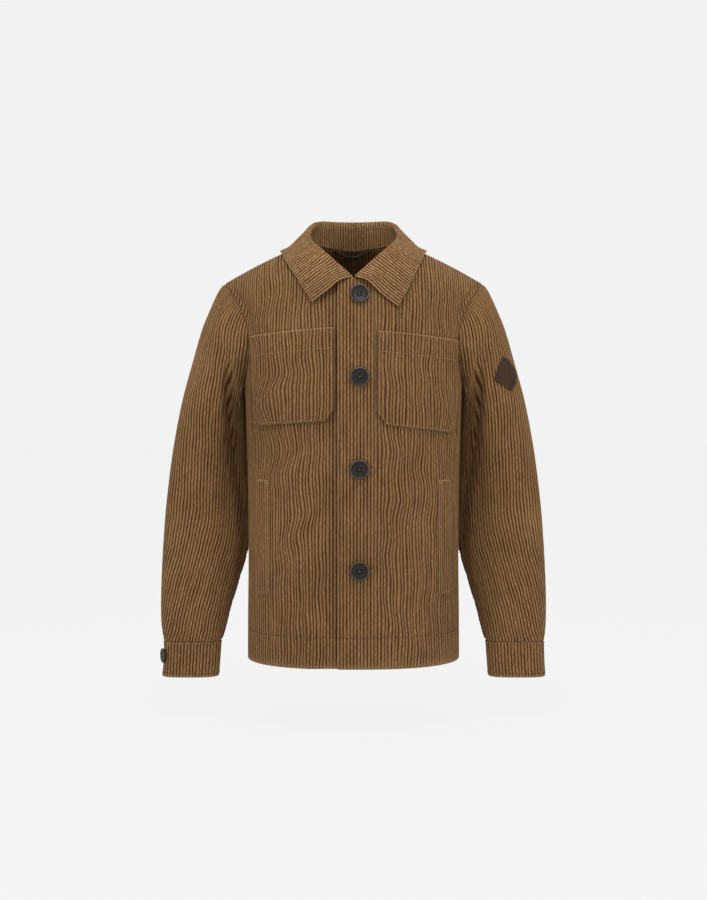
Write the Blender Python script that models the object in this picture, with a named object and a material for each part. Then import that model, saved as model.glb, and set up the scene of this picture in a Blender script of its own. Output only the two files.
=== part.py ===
"""A hollow corduroy shirt jacket, filled out as if worn: the solids of every piece that is cut and sewn.

Metres, +Z up, +X towards the wearer's left, +Y towards the wearer's back. The origin is the middle of the
neck's base, level with the highest points of the shoulders. Left and right are the wearer's.
"""

import math

import bpy
import numpy as np
from mathutils import Quaternion, Vector

FRONT, BACK = "front", "back"
SIDES = {"left": 1, "right": -1}
PANELS = ("front_left", "front_right", "back")

for thing in list(bpy.data.objects):
    bpy.data.objects.remove(thing, do_unlink=True)

# ---- driving sizes --------------------------------------------------------------------------------------
WALL = 0.0024               # one thickness of the corduroy
SEAM = 0.0004               # gap between two pieces at a seam
LAID = 0.0006               # gap under a piece that is laid on another
TOUCHING = 0.0007           # edge points nearer than this are one point of a seam
VALLEY_GAP = 0.6            # how far each piece stays back at a sharp valley, in seams
SHARP_SEAM = 0.6            # cosine between two pieces' normals below which their seam is a sharp valley

HEM = -0.672                # level of the hem, so also the length below the neck's base
NECK_HALF = 0.075           # half the neck opening at the shoulder line
NECK_DROP = {FRONT: 0.0675, BACK: 0.006}
SHOULDER_HALF = 0.208
SHOULDER_DROP = 0.0655
SHOULDER_SLOPE = SHOULDER_DROP / (SHOULDER_HALF - NECK_HALF)
SHOULDER_CROWN = 0.0030     # how much the shoulder line arches over the straight slope
SQUARENESS = 2.4            # exponent of the body's rounded section: 2 is an ellipse

CHEST = -0.150              # level of the armhole's narrowest point
UNDERARM = -0.237
CHEST_HALF = {FRONT: 0.1668, BACK: 0.176}
ARMHOLE_CURVE = 1.6         # how late the armhole's upper part turns out to the shoulder

NECK_CURVE = {FRONT: 1.35, BACK: 2}     # exponent of the neck seam's curve: 1 is a straight V
COLLAR_END = 0.004          # how far from the middle the collar's front ends lie

OVERLAP = 0.024             # how far the left front reaches past the middle
OVERLAP_TOP = -0.0625       # its top edge, just under the collar's ends
OVERLAP_CORNER = 0.006      # how much its corner is rounded down
UNDERLAP = 0.022
UNDERLAP_TOP = -0.068
SUNK = 0.0062               # how far the right front lies behind the left one
SUNK_FROM, SUNK_TO = 0.072, 0.034

POCKET_WIDTH = 0.147
POCKET_START = {"left": 0.0365, "right": 0.030}
POCKET_DROOP = 0.011        # how much lower the pocket's mouth is at its outer end
WELT_EDGES = (0.150, 0.170)

BUTTON_RADIUS = 0.0152
BUTTON_X = 0.0095
BUTTON_HEIGHTS = (-0.0905, -0.218, -0.361, -0.5185)
CUFF_BUTTON_RADIUS = 0.012
CUFF_BUTTON_TURN = 16       # degrees in front of the sleeve's outer edge
CUFF_BUTTON_DROP = 0.42     # share of the cuff's height
BUTTON_GAP = 0.0012         # room for the thread between a button's back and the cloth
CUFF_BUTTON_GAP = 0.0010    # the same on a cuff, over the highest cloth under the button
NEARBY_TURN, NEARBY_STEPS = 68, 20     # degrees and steps each way in which that cloth is looked for
TURNED_BUTTON = 2           # the button whose holes are turned by an eighth of a turn

LOOP_MIDDLE, LOOP_HALF, LOOP_SAG = -0.0025, 0.0275, 0.0125
LOOP_FORWARD = 0.0040       # how far the loop's middle hangs forward
LOOP_WIDTH, LOOP_THICK, LOOP_OFF = 0.0050, 0.0012, 0.0012

PATCH_WALL = 0.0015
PATCH_MIDDLE = (2.885, 51)  # section of the sleeve, and degrees in front of its outer edge
PATCH_HALF_K, PATCH_HALF_TURN = 0.535, 28.5
PATCH_LEAN = 0.34           # how many sections lower its outer corner is than its inner one, halved
PATCH_ROUNDING = 0.10
CUFF_TOP, CUFF_BOTTOM = -0.6475, -0.7045


# ---- smooth tables --------------------------------------------------------------------------------------
def table(names, *rows):
    """Named columns from rows of numbers."""
    return dict(zip(names.split(), np.array(rows, float).T))


def through(knots, values, where):
    """A smooth curve through (knots, values): cubic pieces, each knot's slope from its neighbours."""
    knots = np.asarray(knots, float)
    values = np.asarray(values, float)
    where = np.clip(np.asarray(where, float), knots[0], knots[-1])
    slopes = np.gradient(values, knots, axis=0)
    at = np.clip(np.searchsorted(knots, where, side="right") - 1, 0, len(knots) - 2)
    step = knots[at + 1] - knots[at]
    t = (where - knots[at]) / step
    if values.ndim > 1:
        step = step[..., None]
        t = t[..., None]
    start = values[at] * (1 + 2 * t) * (1 - t) ** 2 + slopes[at] * step * t * (1 - t) ** 2
    end = values[at + 1] * (3 - 2 * t) * t**2 + slopes[at + 1] * step * (t - 1) * t**2
    return start + end


def ease(start, end, value):
    """0 before start, 1 after end, and a soft S between them."""
    t = np.clip((np.asarray(value, float) - start) / (end - start), 0, 1)
    return t * t * (3 - 2 * t)


def unit(vectors):
    return vectors / np.maximum(np.linalg.norm(vectors, axis=-1, keepdims=True), 1e-9)


# ---- the body's form ------------------------------------------------------------------------------------
BODY = table(
    "z      half    front   back",
    (-0.672, 0.1725, 0.130, 0.116),
    (-0.600, 0.1720, 0.131, 0.115),
    (-0.500, 0.1708, 0.131, 0.112),
    (-0.400, 0.1712, 0.131, 0.110),
    (-0.310, 0.1735, 0.133, 0.117),
    (-0.237, 0.1762, 0.136, 0.126),
    (-0.150, 0.1840, 0.137, 0.132),
    (-0.110, 0.1960, 0.136, 0.132),
    (-0.065, 0.2180, 0.134, 0.130),
    (0.040, 0.2400, 0.130, 0.126),
)
# How far below the shoulder line the cloth hangs upright, at the middle, and less for each metre out.
FALL = {FRONT: (0.250, 0.60), BACK: (0.215, 0.35)}
SECTION_ANGLES = np.linspace(0, math.pi / 2, 361)

# Soft drag folds of the fronts: troughs from (x0, z0) to (x1, z1).
FOLDS = table(
    "x0      z0      x1      z1      width  depth",
    (-0.092, -0.203, -0.160, -0.274, 0.016, 0.0035),
    (-0.046, -0.289, -0.134, -0.374, 0.018, 0.0030),
    (-0.026, -0.400, -0.130, -0.542, 0.018, 0.0040),
    (0.060, -0.330, 0.120, -0.470, 0.020, 0.0025),
)


def level(z, column):
    return through(BODY["z"], BODY[column], z)


def rounded(angle, half, depth):
    """A point of a quarter section: x and depth at an angle from the middle (0) to the side (a right angle)."""
    power = 2 / SQUARENESS
    return half * np.sin(angle) ** power, depth * np.maximum(np.cos(angle), 0) ** power


def quarter_lengths(side):
    """Length of the cloth from the middle to the side seam, at each row of the body's table."""
    x, y = rounded(SECTION_ANGLES[:, None], BODY["half"], BODY[side])
    return np.hypot(np.diff(x, axis=0), np.diff(y, axis=0)).sum(axis=0)


def section_share(side):
    """Share of the quarter's length that lies before each of the section's angles, at the waist."""
    x, y = rounded(SECTION_ANGLES, level(-0.35, "half"), level(-0.35, side))
    length = np.concatenate([[0], np.cumsum(np.hypot(np.diff(x), np.diff(y)))])
    return length / length[-1]


QUARTER = {side: quarter_lengths(side) for side in (FRONT, BACK)}
SHARE = {side: section_share(side) for side in (FRONT, BACK)}


def quarter(z, side):
    return through(BODY["z"], QUARTER[side], z)


def across(s, z, side):
    """x of the point s along the cloth from the middle, at height z, or at the chest where z is higher."""
    z = np.minimum(z, CHEST)
    angle = np.interp(np.abs(s) / quarter(z, side), SHARE[side], SECTION_ANGLES)
    return np.sign(s) * rounded(angle, level(z, "half"), 1)[0]


def along(x, side):
    """The distance along the cloth at the chest that across turns into x."""
    s = np.linspace(0, quarter(CHEST, side), 800)
    return np.interp(x, across(s, CHEST, side), s)


def ridge(x):
    """Height of the shoulder line over x: a straight slope with a low arch between the neck and the armhole."""
    along_line = np.clip((np.abs(x) - NECK_HALF) / (SHOULDER_HALF - NECK_HALF), 0, 1)
    return SHOULDER_SLOPE * (NECK_HALF - np.abs(x)) + SHOULDER_CROWN * np.sin(math.pi * along_line)


def fall(x, side):
    middle, taper = FALL[side]
    return middle - taper * np.abs(x)


def reach(x, z, side):
    """How far the cloth lies in front of, or behind, the shoulder line.

    It is the depth of the body's rounded section at height z, times a quarter ellipse that closes it over
    the shoulder line.
    """
    out = 1 - np.clip(np.abs(x) / level(z, "half"), 0, 1) ** SQUARENESS
    below = np.clip((ridge(x) - z) / fall(x, side), 0, 1)
    return level(z, side) * out ** (1 / SQUARENESS) * np.sqrt(1 - (1 - below) ** 2)


def body_clearance(points):
    """Rough distance of points from the body's outer face, and the direction away from it.

    The face is the zero of a function: the distance from the axis of the quarter ellipse over the shoulder,
    with its two half axes as units, less 1. The distance is the function divided by its slope.
    """
    def function(x, y, z):
        side = np.where(y < 0, 0, 1)
        half = level(z, "half")
        out = np.clip(1 - np.clip(np.abs(x) / half, 0, 1) ** SQUARENESS, 1e-6, 1) ** (1 / SQUARENESS)
        depth = np.choose(side, [level(z, FRONT), level(z, BACK)]) * out
        drop = np.choose(side, [fall(x, FRONT), fall(x, BACK)])
        up = np.maximum(1 + (z - ridge(x)) / drop, 0)
        return np.hypot(y / depth, up) - 1

    x, y, z = points.T
    step = 1e-5
    slope = np.stack([
        function(x + step, y, z) - function(x - step, y, z),
        function(x, y + step, z) - function(x, y - step, z),
        function(x, y, z + step) - function(x, y, z - step),
    ], axis=1) / (2 * step)
    return function(x, y, z) / np.linalg.norm(slope, axis=1), unit(slope)


def held_off(points, least):
    """The points, each moved straight off the body until it lies at least that far from it."""
    for _ in range(4):
        clear, away = body_clearance(points)
        points = points + np.maximum(least - clear, 0)[:, None] * away
    return points


def drape(x, z):
    """Depth of the soft folds at (x, z): each is a trough across a line, deepest at the line's middle."""
    depth = np.zeros(np.broadcast(x, z).shape)
    for x0, z0, x1, z1, width, most in zip(*FOLDS.values()):
        run = np.array([x1 - x0, z1 - z0])
        forward = ((x - x0) * run[0] + (z - z0) * run[1]) / (run @ run)
        aside = ((x - x0) * run[1] - (z - z0) * run[0]) / math.sqrt(run @ run)
        ends = np.sin(math.pi * np.clip(forward, 0, 1))
        depth = depth + most * ends * np.exp(-((aside / width) ** 2))
    return depth


def body_point(x, z, side, sign=1):
    """The cloth's outer face at x, z. The right front (sign -1) sinks behind the left one near the middle."""
    x = np.asarray(x, float)
    if side == BACK:
        return np.stack([x, reach(x, z, side), z + 0 * x], axis=-1)
    y = drape(x, z) - reach(x, z, side)
    if sign < 0:
        y = y + SUNK * ease(-SUNK_FROM, -SUNK_TO, x)
    return np.stack([x, y, z + 0 * x], axis=-1)


def neckline(x, side):
    """Height of the neck seam over x, down to the drop at the middle."""
    return -NECK_DROP[side] * np.clip(1 - (np.abs(x) / NECK_HALF) ** NECK_CURVE[side], 0, 1)


# ---- solids from skins ----------------------------------------------------------------------------------
def vertex_normals(points, faces):
    """Unit normals of a skin, each the sum of the areas of the faces around its point."""
    normals = np.zeros_like(points)
    for face in faces:
        corners = points[list(face)]
        area = np.zeros(3)
        for k in range(1, len(face) - 1):
            area += np.cross(corners[k] - corners[0], corners[k + 1] - corners[0])
        for k in face:
            normals[k] += area
    return unit(normals)


def open_edges(faces):
    """Edges with a face on one side only, in that face's order."""
    edges = {(a, b) for face in faces for a, b in zip(face, face[1:] + face[:1])}
    return [(a, b) for a, b in sorted(edges) if (b, a) not in edges]


def shell(points, faces, wall, outwards):
    """A closed wall: the skin outside, its copy moved in by the wall, and a rim between their edges."""
    count = len(points)
    inner = [tuple(count + k for k in reversed(face)) for face in faces]
    rim = [(b, a, count + a, count + b) for a, b in open_edges(faces)]
    return np.vstack([points, points - wall * outwards]), list(faces) + inner + rim


def trimmed(points, faces, normals, gap):
    """The skin with its open edges moved in by the gap."""
    inward = np.zeros_like(points)
    for a, b in open_edges(faces):
        run = unit(points[b] - points[a])
        for k in (a, b):
            inward[k] += np.cross(normals[k], run)
    return points + gap * unit(inward)


def grid_faces(rows, columns, start=0, flip=False, wrap=False):
    """Quads of a grid of rows by columns points. With wrap, the last column joins the first."""
    faces = []
    for i in range(rows - 1):
        for j in range(columns if wrap else columns - 1):
            k = (j + 1) % columns
            a, b = start + i * columns + j, start + i * columns + k
            quad = (a, b, b + columns, a + columns)
            faces.append((quad[0], *quad[:0:-1]) if flip else quad)
    return faces


def halved(faces):
    """Each quad as two triangles, split from its first corner, so that two skins on one grid split alike."""
    return [half for f in faces for half in ([f[:3], (f[0], *f[2:])] if len(f) == 4 else [f])]


def weld(points, faces):
    """Points that coincide made one, faces that close up with them made smaller, and each point's new index."""
    place = {}
    index = [place.setdefault(tuple(np.round(point, 6) + 0.0), len(place)) for point in points]
    kept = np.zeros((len(place), 3))
    kept[index] = points
    joined = []
    for face in faces:
        ring = [index[k] for k in face]
        ring = [k for i, k in enumerate(ring) if k != ring[i - 1]]
        if len(ring) > 2:
            joined.append(tuple(ring))
    return kept, joined, np.array(index)


def sewn(skins, walls):
    """Walls from skins whose edges meet at seams.

    Every open edge is moved in by half a seam. Where two skins go on much the same way, both walls end
    along the direction between their normals. Where they meet in a sharp valley, each keeps its own. The
    side and shoulder seams of the panels lie in the plane through the origin, and their walls end in it.
    The stand's wall is level, so that the leaf's edge can end on it.
    """
    normals = {name: vertex_normals(*skin) for name, skin in skins.items()}
    edges = {name: sorted({k for pair in open_edges(skin[1]) for k in pair}) for name, skin in skins.items()}
    solids = {}
    for name, (points, faces) in skins.items():
        outwards = normals[name].copy()
        moved = trimmed(points, faces, normals[name], SEAM / 2)
        for other in skins:
            if other == name:
                continue
            apart = points[edges[name]][:, None] - skins[other][0][edges[other]][None]
            for i, j in zip(*np.nonzero(np.linalg.norm(apart, axis=2) < TOUCHING)):
                mine, theirs = edges[name][i], edges[other][j]
                if normals[name][mine] @ normals[other][theirs] > SHARP_SEAM:
                    outwards[mine] += normals[other][theirs]
                else:
                    moved[mine] -= VALLEY_GAP * SEAM * normals[name][mine]
        if name in PANELS:
            outwards[np.abs(points[:, 1]) < TOUCHING, 1] = 0
        if name == "collar_stand":
            outwards[:, 2] = 0
        solids[name] = shell(moved, faces, walls[name], unit(outwards))
    return solids


def material(name, colour, roughness):
    found = bpy.data.materials.get(name)
    if found:
        return found
    made = bpy.data.materials.new(name)
    made.use_nodes = True
    shader = made.node_tree.nodes["Principled BSDF"]
    shader.inputs["Base Color"].default_value = (*colour, 1)
    shader.inputs["Roughness"].default_value = roughness
    shader.inputs["Metallic"].default_value = 0
    return made


def piece(name, points, faces, finish):
    """A named object from points and faces."""
    mesh = bpy.data.meshes.new(name)
    mesh.from_pydata([tuple(p) for p in points], [], [tuple(f) for f in faces])
    mesh.materials.append(finish)
    mesh.shade_smooth()
    mesh.set_sharp_from_angle(angle=math.radians(50))
    thing = bpy.data.objects.new(name, mesh)
    bpy.context.scene.collection.objects.link(thing)
    return thing


# ---- the panels -----------------------------------------------------------------------------------------
WING = 5                    # columns from the armhole's narrowest point out to the side, or to the shoulder
LOW_ROWS = np.array([0, 0.094, 0.155, 0.216, 0.33, 0.445, 0.557, 0.645, 0.7346, 0.771, 0.823, 0.911, 1])
HIGH_ROWS = np.array([0, 0.22, 0.44, 0.64, 0.83, 1])
POCKET_ROWS = (8, 12)       # of LOW_ROWS: the pocket's bottom and its mouth
WELT_ROWS = (3, 6)


def main_columns(name):
    """Cloth distances of a half's columns, from the middle to the armhole's narrowest point."""
    if name == BACK:
        neck, edge = along(NECK_HALF, BACK), along(CHEST_HALF[BACK], BACK)
        near_neck = along(np.array([0, 0.020, 0.039, 0.0555, 0.068]), BACK)
        return np.concatenate([near_neck, np.linspace(neck, edge, 5)])
    neck, edge = along(NECK_HALF, FRONT), along(CHEST_HALF[FRONT], FRONT)
    near_neck = {
        "left": (-OVERLAP, -0.010, COLLAR_END, 0.0205, POCKET_START["left"], 0.051, 0.0645, 0.0715),
        "right": (-UNDERLAP, -0.010, COLLAR_END, 0.017, POCKET_START["right"], 0.0475, 0.063, 0.0708),
    }[name]
    outer = POCKET_START[name] + POCKET_WIDTH
    return np.array([*near_neck, neck, 0.099, 0.1245, *WELT_EDGES, outer, edge])


def low_armhole(side):
    """(s, z) of the armhole from its narrowest point down and out to the underarm: a quarter ellipse."""
    turn = np.linspace(0, math.pi / 2, WING + 1)
    start, end = along(CHEST_HALF[side], side), quarter(UNDERARM, side)
    s = start + (end - start) * (1 - np.cos(turn))
    return s, UNDERARM + (CHEST - UNDERARM) * (1 - np.sin(turn))


def high_armhole(side):
    """(x, z) of the armhole from its narrowest point up to the shoulder's end."""
    up = np.linspace(0, 1, WING + 1) ** 0.8
    x = CHEST_HALF[side] + (SHOULDER_HALF - CHEST_HALF[side]) * up**ARMHOLE_CURVE
    return x, CHEST + (-SHOULDER_DROP - CHEST) * up


def wing_s(s, z, side):
    """A wing column's place at height z: the wing is stretched to end at the side seam at every height."""
    start = along(CHEST_HALF[side], side)
    return start + (s - start) * (quarter(z, side) - start) / (quarter(UNDERARM, side) - start)


def arch(below):
    """Angle round the quarter ellipse over the shoulder, for a drop below the line as a share of the fall."""
    return np.where(below < 1, np.arccos(np.clip(1 - below, -1, 1)), math.pi / 2 + below - 1)


def arch_drop(angle):
    return np.where(angle < math.pi / 2, 1 - np.cos(angle), 1 + angle - math.pi / 2)


def front_top(name):
    """The function that gives a front's upper edge: the neck seam, and a level stretch past the middle."""
    def top(x):
        if name == "left":
            past = np.where(x < -OVERLAP / 2, OVERLAP_TOP - OVERLAP_CORNER, OVERLAP_TOP)
        else:
            past = UNDERLAP_TOP
        return np.where(x < 0, past, np.where(x < NECK_HALF, neckline(x, FRONT), ridge(x)))
    return top


def back_top(x):
    return np.where(x < NECK_HALF, neckline(x, BACK), ridge(x))


def half_panel(side, sign, columns, top, droop):
    """The skin of one front, or of half the back, and the place in it of each point of its two grids.

    The columns run up the wales. In the lower grid the wing's columns end on the armhole's lower part. In
    the upper grid they run from the armhole's upper part to the shoulder seam. top gives the upper end of
    each other column. The grids meet near the chest, at a line that drops by droop towards the armhole.
    """
    edge = columns[-1]
    low_s, low_z = low_armhole(side)
    high_x, high_z = high_armhole(side)
    chest = CHEST + droop * (1 - columns / edge)

    s = np.concatenate([columns, low_s[1:]])
    z = HEM + (np.concatenate([chest, low_z[1:]]) - HEM) * LOW_ROWS[:, None]
    in_wing = np.arange(len(s)) >= len(columns)
    low = np.stack([across(np.where(in_wing, wing_s(s, z, side), s), z, side), z])

    x = np.concatenate([across(columns, CHEST + 0 * columns, side), high_x[1:]])
    start = np.concatenate([chest, high_z[1:]])
    end = np.concatenate([top(x[: len(columns)]), ridge(high_x[1:])])
    first, last = (arch((ridge(x) - z) / fall(x, side)) for z in (start, end))
    z = ridge(x) - arch_drop(first + (last - first) * HIGH_ROWS[:, None]) * fall(x, side)
    z[0], z[-1] = start, end
    high = np.stack([x + 0 * z, z])

    points, faces, places = [], [], []
    flip = (sign < 0) != (side == BACK)
    for x, z in (low, high):
        start = sum(map(len, points))
        faces += grid_faces(*x.shape, start=start, flip=flip)
        places.append(start + np.arange(x.size).reshape(x.shape))
        points.append(body_point(sign * x, z, side, sign).reshape(-1, 3))
    points, faces, index = weld(np.vstack(points), halved(faces))
    return points, faces, [index[place] for place in places]


def front_panel(name):
    return half_panel(FRONT, SIDES[name], main_columns(name), front_top(name), POCKET_DROOP)


def back_panel():
    """Both halves of the back, welded along the middle."""
    halves = [half_panel(BACK, sign, main_columns(BACK), back_top, POCKET_DROOP) for sign in SIDES.values()]
    points = np.vstack([half[0] for half in halves])
    count = len(halves[0][0])
    faces = halves[0][1] + [tuple(count + k for k in face) for face in halves[1][1]]
    points, faces, index = weld(points, faces)
    left = [index[place] for place in halves[0][2]]
    right = [index[count + place] for place in halves[1][2]]
    return points, faces, {"left": left, "right": right}


# ---- sleeves and cuffs ----------------------------------------------------------------------------------
# Sections down the sleeve: outer and inner ends, depths to the front and the back, how far the inner end
# is set back beside the body, and the long fold in front: the angle where it starts and its depth.
SLEEVE = table(
    "k   outer_x outer_z  inner_x inner_z  front  back   set    fold   deep  square",
    (1, 0.2290, -0.1000, 0.1788, -0.2590, 0.074, 0.070, 0.012, 95, 0.00, 2.00),
    (2, 0.2460, -0.1400, 0.1770, -0.2850, 0.072, 0.070, 0.026, 98, 0.12, 2.00),
    (3, 0.2620, -0.1950, 0.1752, -0.3180, 0.068, 0.070, 0.035, 104, 0.25, 2.00),
    (4, 0.2800, -0.2620, 0.1738, -0.3500, 0.060, 0.070, 0.041, 112, 0.38, 2.00),
    (5, 0.2940, -0.3350, 0.1710, -0.3920, 0.050, 0.064, 0.044, 120, 0.45, 2.00),
    (6, 0.3035, -0.4050, 0.1685, -0.4400, 0.042, 0.056, 0.046, 128, 0.50, 2.00),
    (7, 0.3100, -0.4750, 0.1730, -0.4920, 0.037, 0.048, 0.036, 138, 0.45, 2.05),
    (8, 0.3140, -0.5450, 0.1890, -0.5480, 0.034, 0.042, 0.022, 150, 0.30, 2.10),
    (9, 0.3152, -0.5950, 0.2030, -0.5950, 0.031, 0.036, 0.012, 160, 0.10, 2.25),
    (10, 0.3140, -0.6300, 0.2120, -0.6300, 0.028, 0.031, 0.005, 170, 0.00, 2.60),
    (11, 0.3122, -0.6440, 0.2162, -0.6440, 0.024, 0.026, 0.000, 175, 0.00, 3.00),
)
SLEEVE_RINGS = np.array([1, 1.7, 2.4, 3.1, 3.8, 4.5, 5.2, 6, 6.8, 7.6, 8.4, 9.2, 10, 10.5])
FOLD_TURN = 16              # degrees in which the sleeve's long fold drops
# Degrees round a section, four quarters of WING steps each: outer, front, inner, back.
SLEEVE_TURNS = np.array([0, 18, 36, 54, 72, 90, 104, 118, 134, 156, 180, 203, 223, 240, 256, 270, 288, 306, 324, 342])
CUFF = table(
    "drop outer_x inner_x front  back",
    (0.0, 0.3122, 0.2162, 0.0240, 0.0260),
    (0.5, 0.3130, 0.2182, 0.0245, 0.0262),
    (1.0, 0.3143, 0.2205, 0.0250, 0.0265),
)
CUFF_UNDER = 40             # degrees in front of the sleeve's outer edge where the cuff's under end lies
CUFF_TURNS = np.array([0, 15, 30, 45, 58, 75, 95, 115, 135, 152, 168, 182, 198, 214, 232, 252, 272, 292, 310,
                       326, 340, 355, 375, 390, 405, 415])
CUFF_ROWS = (0, CUFF_BUTTON_DROP, 1)
CUFF_DENT, DENT_TURN, DENT_DROP = 0.0028, 34, 0.60      # how the tight button pulls the cuff in round it
CUFF_RISE = (58, 95)        # degrees along the cuff in which it comes out from under its own other end
CUFF_TURNED = {"left": -60, "right": 0}


def squared(turn, square):
    """Cosine and sine of the turn, pushed out towards a squarer section."""
    c, s = np.cos(turn), np.sin(turn)
    return np.sign(c) * np.abs(c) ** (2 / square), np.sign(s) * np.abs(s) ** (2 / square)


def sleeve_point(k, turn, sign):
    """The sleeve's outer face at section k, turn degrees from its outer edge towards the front."""
    k, turn = np.broadcast_arrays(np.asarray(k, float), np.asarray(turn, float))
    row = {name: through(SLEEVE["k"], SLEEVE[name], k) for name in SLEEVE}
    c, s = squared(np.radians(turn), row["square"])
    x = (row["outer_x"] + row["inner_x"]) / 2 + c * (row["outer_x"] - row["inner_x"]) / 2
    z = (row["outer_z"] + row["inner_z"]) / 2 + c * (row["outer_z"] - row["inner_z"]) / 2
    folded = 1 - row["deep"] * ease(row["fold"], row["fold"] + FOLD_TURN, turn)
    y = row["set"] * (1 - c) / 2 + np.where(s > 0, -s * row["front"] * folded, -s * row["back"])
    return np.stack([sign * x, y, z], axis=-1)


def armhole(front, back):
    """The armhole's points, from the shoulder down the front to the underarm and up the back."""
    rings = []
    for points, _, (low, high) in (front, back):
        up = high[0, -WING - 1 :]
        down = low[-1, -WING - 1 :]
        rings.append(points[np.concatenate([up[::-1], down[1:]])])
    return np.vstack([rings[0], rings[1][-2:0:-1]])


def cuff_point(turn, drop, name, lift=0.0):
    """The cuff's outer face, turn degrees from the outer edge towards the front, moved out by lift."""
    sign = SIDES[name]
    aside = ((turn - CUFF_BUTTON_TURN - CUFF_TURNED[name] + 180) % 360 - 180) / DENT_TURN
    lift = lift - CUFF_DENT * np.exp(-(aside**2) - ((drop - CUFF_BUTTON_DROP) / DENT_DROP) ** 2)
    row = {column: through(CUFF["drop"], CUFF[column], drop) for column in CUFF}
    c, s = squared(np.radians(turn), SLEEVE["square"][-1])
    half = (row["outer_x"] - row["inner_x"]) / 2 + lift
    depth = np.where(s > 0, row["front"], row["back"]) + lift
    x = (row["outer_x"] + row["inner_x"]) / 2 + c * half
    return np.stack([sign * x, -s * depth, CUFF_TOP + (CUFF_BOTTOM - CUFF_TOP) * drop + 0 * x], axis=-1)


def cuff_skin(name):
    """A strip that goes round from its under end, towards the back, and laps over that end."""
    lift = (WALL + LAID) * (ease(*CUFF_RISE, CUFF_TURNS) - 1)
    turns = CUFF_UNDER - CUFF_TURNS + CUFF_TURNED[name]
    rows = [cuff_point(turns, drop, name, lift) for drop in CUFF_ROWS]
    return np.vstack(rows), halved(grid_faces(len(CUFF_ROWS), len(CUFF_TURNS), flip=SIDES[name] > 0))


def sleeve_skin(ring, name):
    """From the armhole's points down to the cuff seam. The last step is upright, over the cuff's top."""
    sign = SIDES[name]
    rings = [ring] + [sleeve_point(k, SLEEVE_TURNS, sign) for k in SLEEVE_RINGS]
    end = cuff_point(SLEEVE_TURNS, 0, name)
    rings += [end + (0, 0, SLEEVE["outer_z"][-1] - CUFF_TOP), end]
    return np.vstack(rings), halved(grid_faces(len(rings), len(ring), flip=sign < 0, wrap=True))


# ---- collar ---------------------------------------------------------------------------------------------
# The roll and the leaf's free edge on the left, by the share of the neck seam from the middle of the back.
COLLAR = table(
    "share roll_x   roll_y   roll_z   edge_x   edge_y   edge_z  round   stand",
    (0.00, 0.0000, 0.0816, 0.0430, 0.0000, 0.0945, -0.0130, 0.0055, 0.66),
    (0.12, 0.0300, 0.0765, 0.0430, 0.0330, 0.0915, -0.0150, 0.0055, 0.66),
    (0.24, 0.0550, 0.0590, 0.0418, 0.0650, 0.0790, -0.0175, 0.0055, 0.64),
    (0.34, 0.0670, 0.0370, 0.0355, 0.0930, 0.0500, -0.0165, 0.0055, 0.60),
    (0.45, 0.0736, 0.0040, 0.0215, 0.1150, 0.0060, -0.0170, 0.0052, 0.48),
    (0.56, 0.0715, -0.0280, 0.0060, 0.1115, -0.0370, -0.0260, 0.0050, 0.26),
    (0.68, 0.0600, -0.0570, -0.0072, 0.1035, -0.0680, -0.0410, 0.0048, 0.18),
    (0.79, 0.0445, -0.0780, -0.0216, 0.0930, -0.0925, -0.0610, 0.0046, 0.16),
    (0.90, 0.0225, -0.0965, -0.0420, 0.0810, -0.1090, -0.0840, 0.0044, 0.23),
    (1.00, 0.0035, -0.1085, -0.0590, 0.0695, -0.1210, -0.1048, 0.0040, 0.21),
)
COLLAR_WALL = 0.0026
TIP_LOWER = {"left": 0.0039, "right": -0.0039}     # one collar point hangs a little lower than the other
LEAF_SPREAD = (0.28, 0.62)  # where the leaf's two middle rows lie between its roll and its edge
LEAF_CROWN = (0.0020, 0.0020)
TIP_IN = {"left": 0.0, "right": 0.0045}            # and that much nearer the middle
# How far the leaf's two middle rows rise at its front edge, which first runs level, then turns down.
FRONT_EDGE_RISE = {"left": (0.0065, 0.0010), "right": (0.0055, 0.0020)}
ROLL_SUNK = 0.6             # how far the right roll's front end follows the sunk front, as a share
ROLL_DROP = 0.65            # how far the two sides of the roll lie below it, in shares of its radius
STAND_TILT = 0.45           # how much the middle row of the stand leans up
STAND_GAP = 0.0010
NECK_LIFT = 0.0005          # the stand starts just above the neck seam
LEAF_OFF = 0.0056           # least height of the leaf's outer face over the body


def neck_points(name, front, back):
    """Neck seam points of one half, from the middle of the back to the collar's front end."""
    points, _, places = back
    stations = list(points[places[name][1][-1, :6]])
    points, _, (_, high) = front
    return np.array(stations + list(points[high[-1, 2:8][::-1]]))


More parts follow.
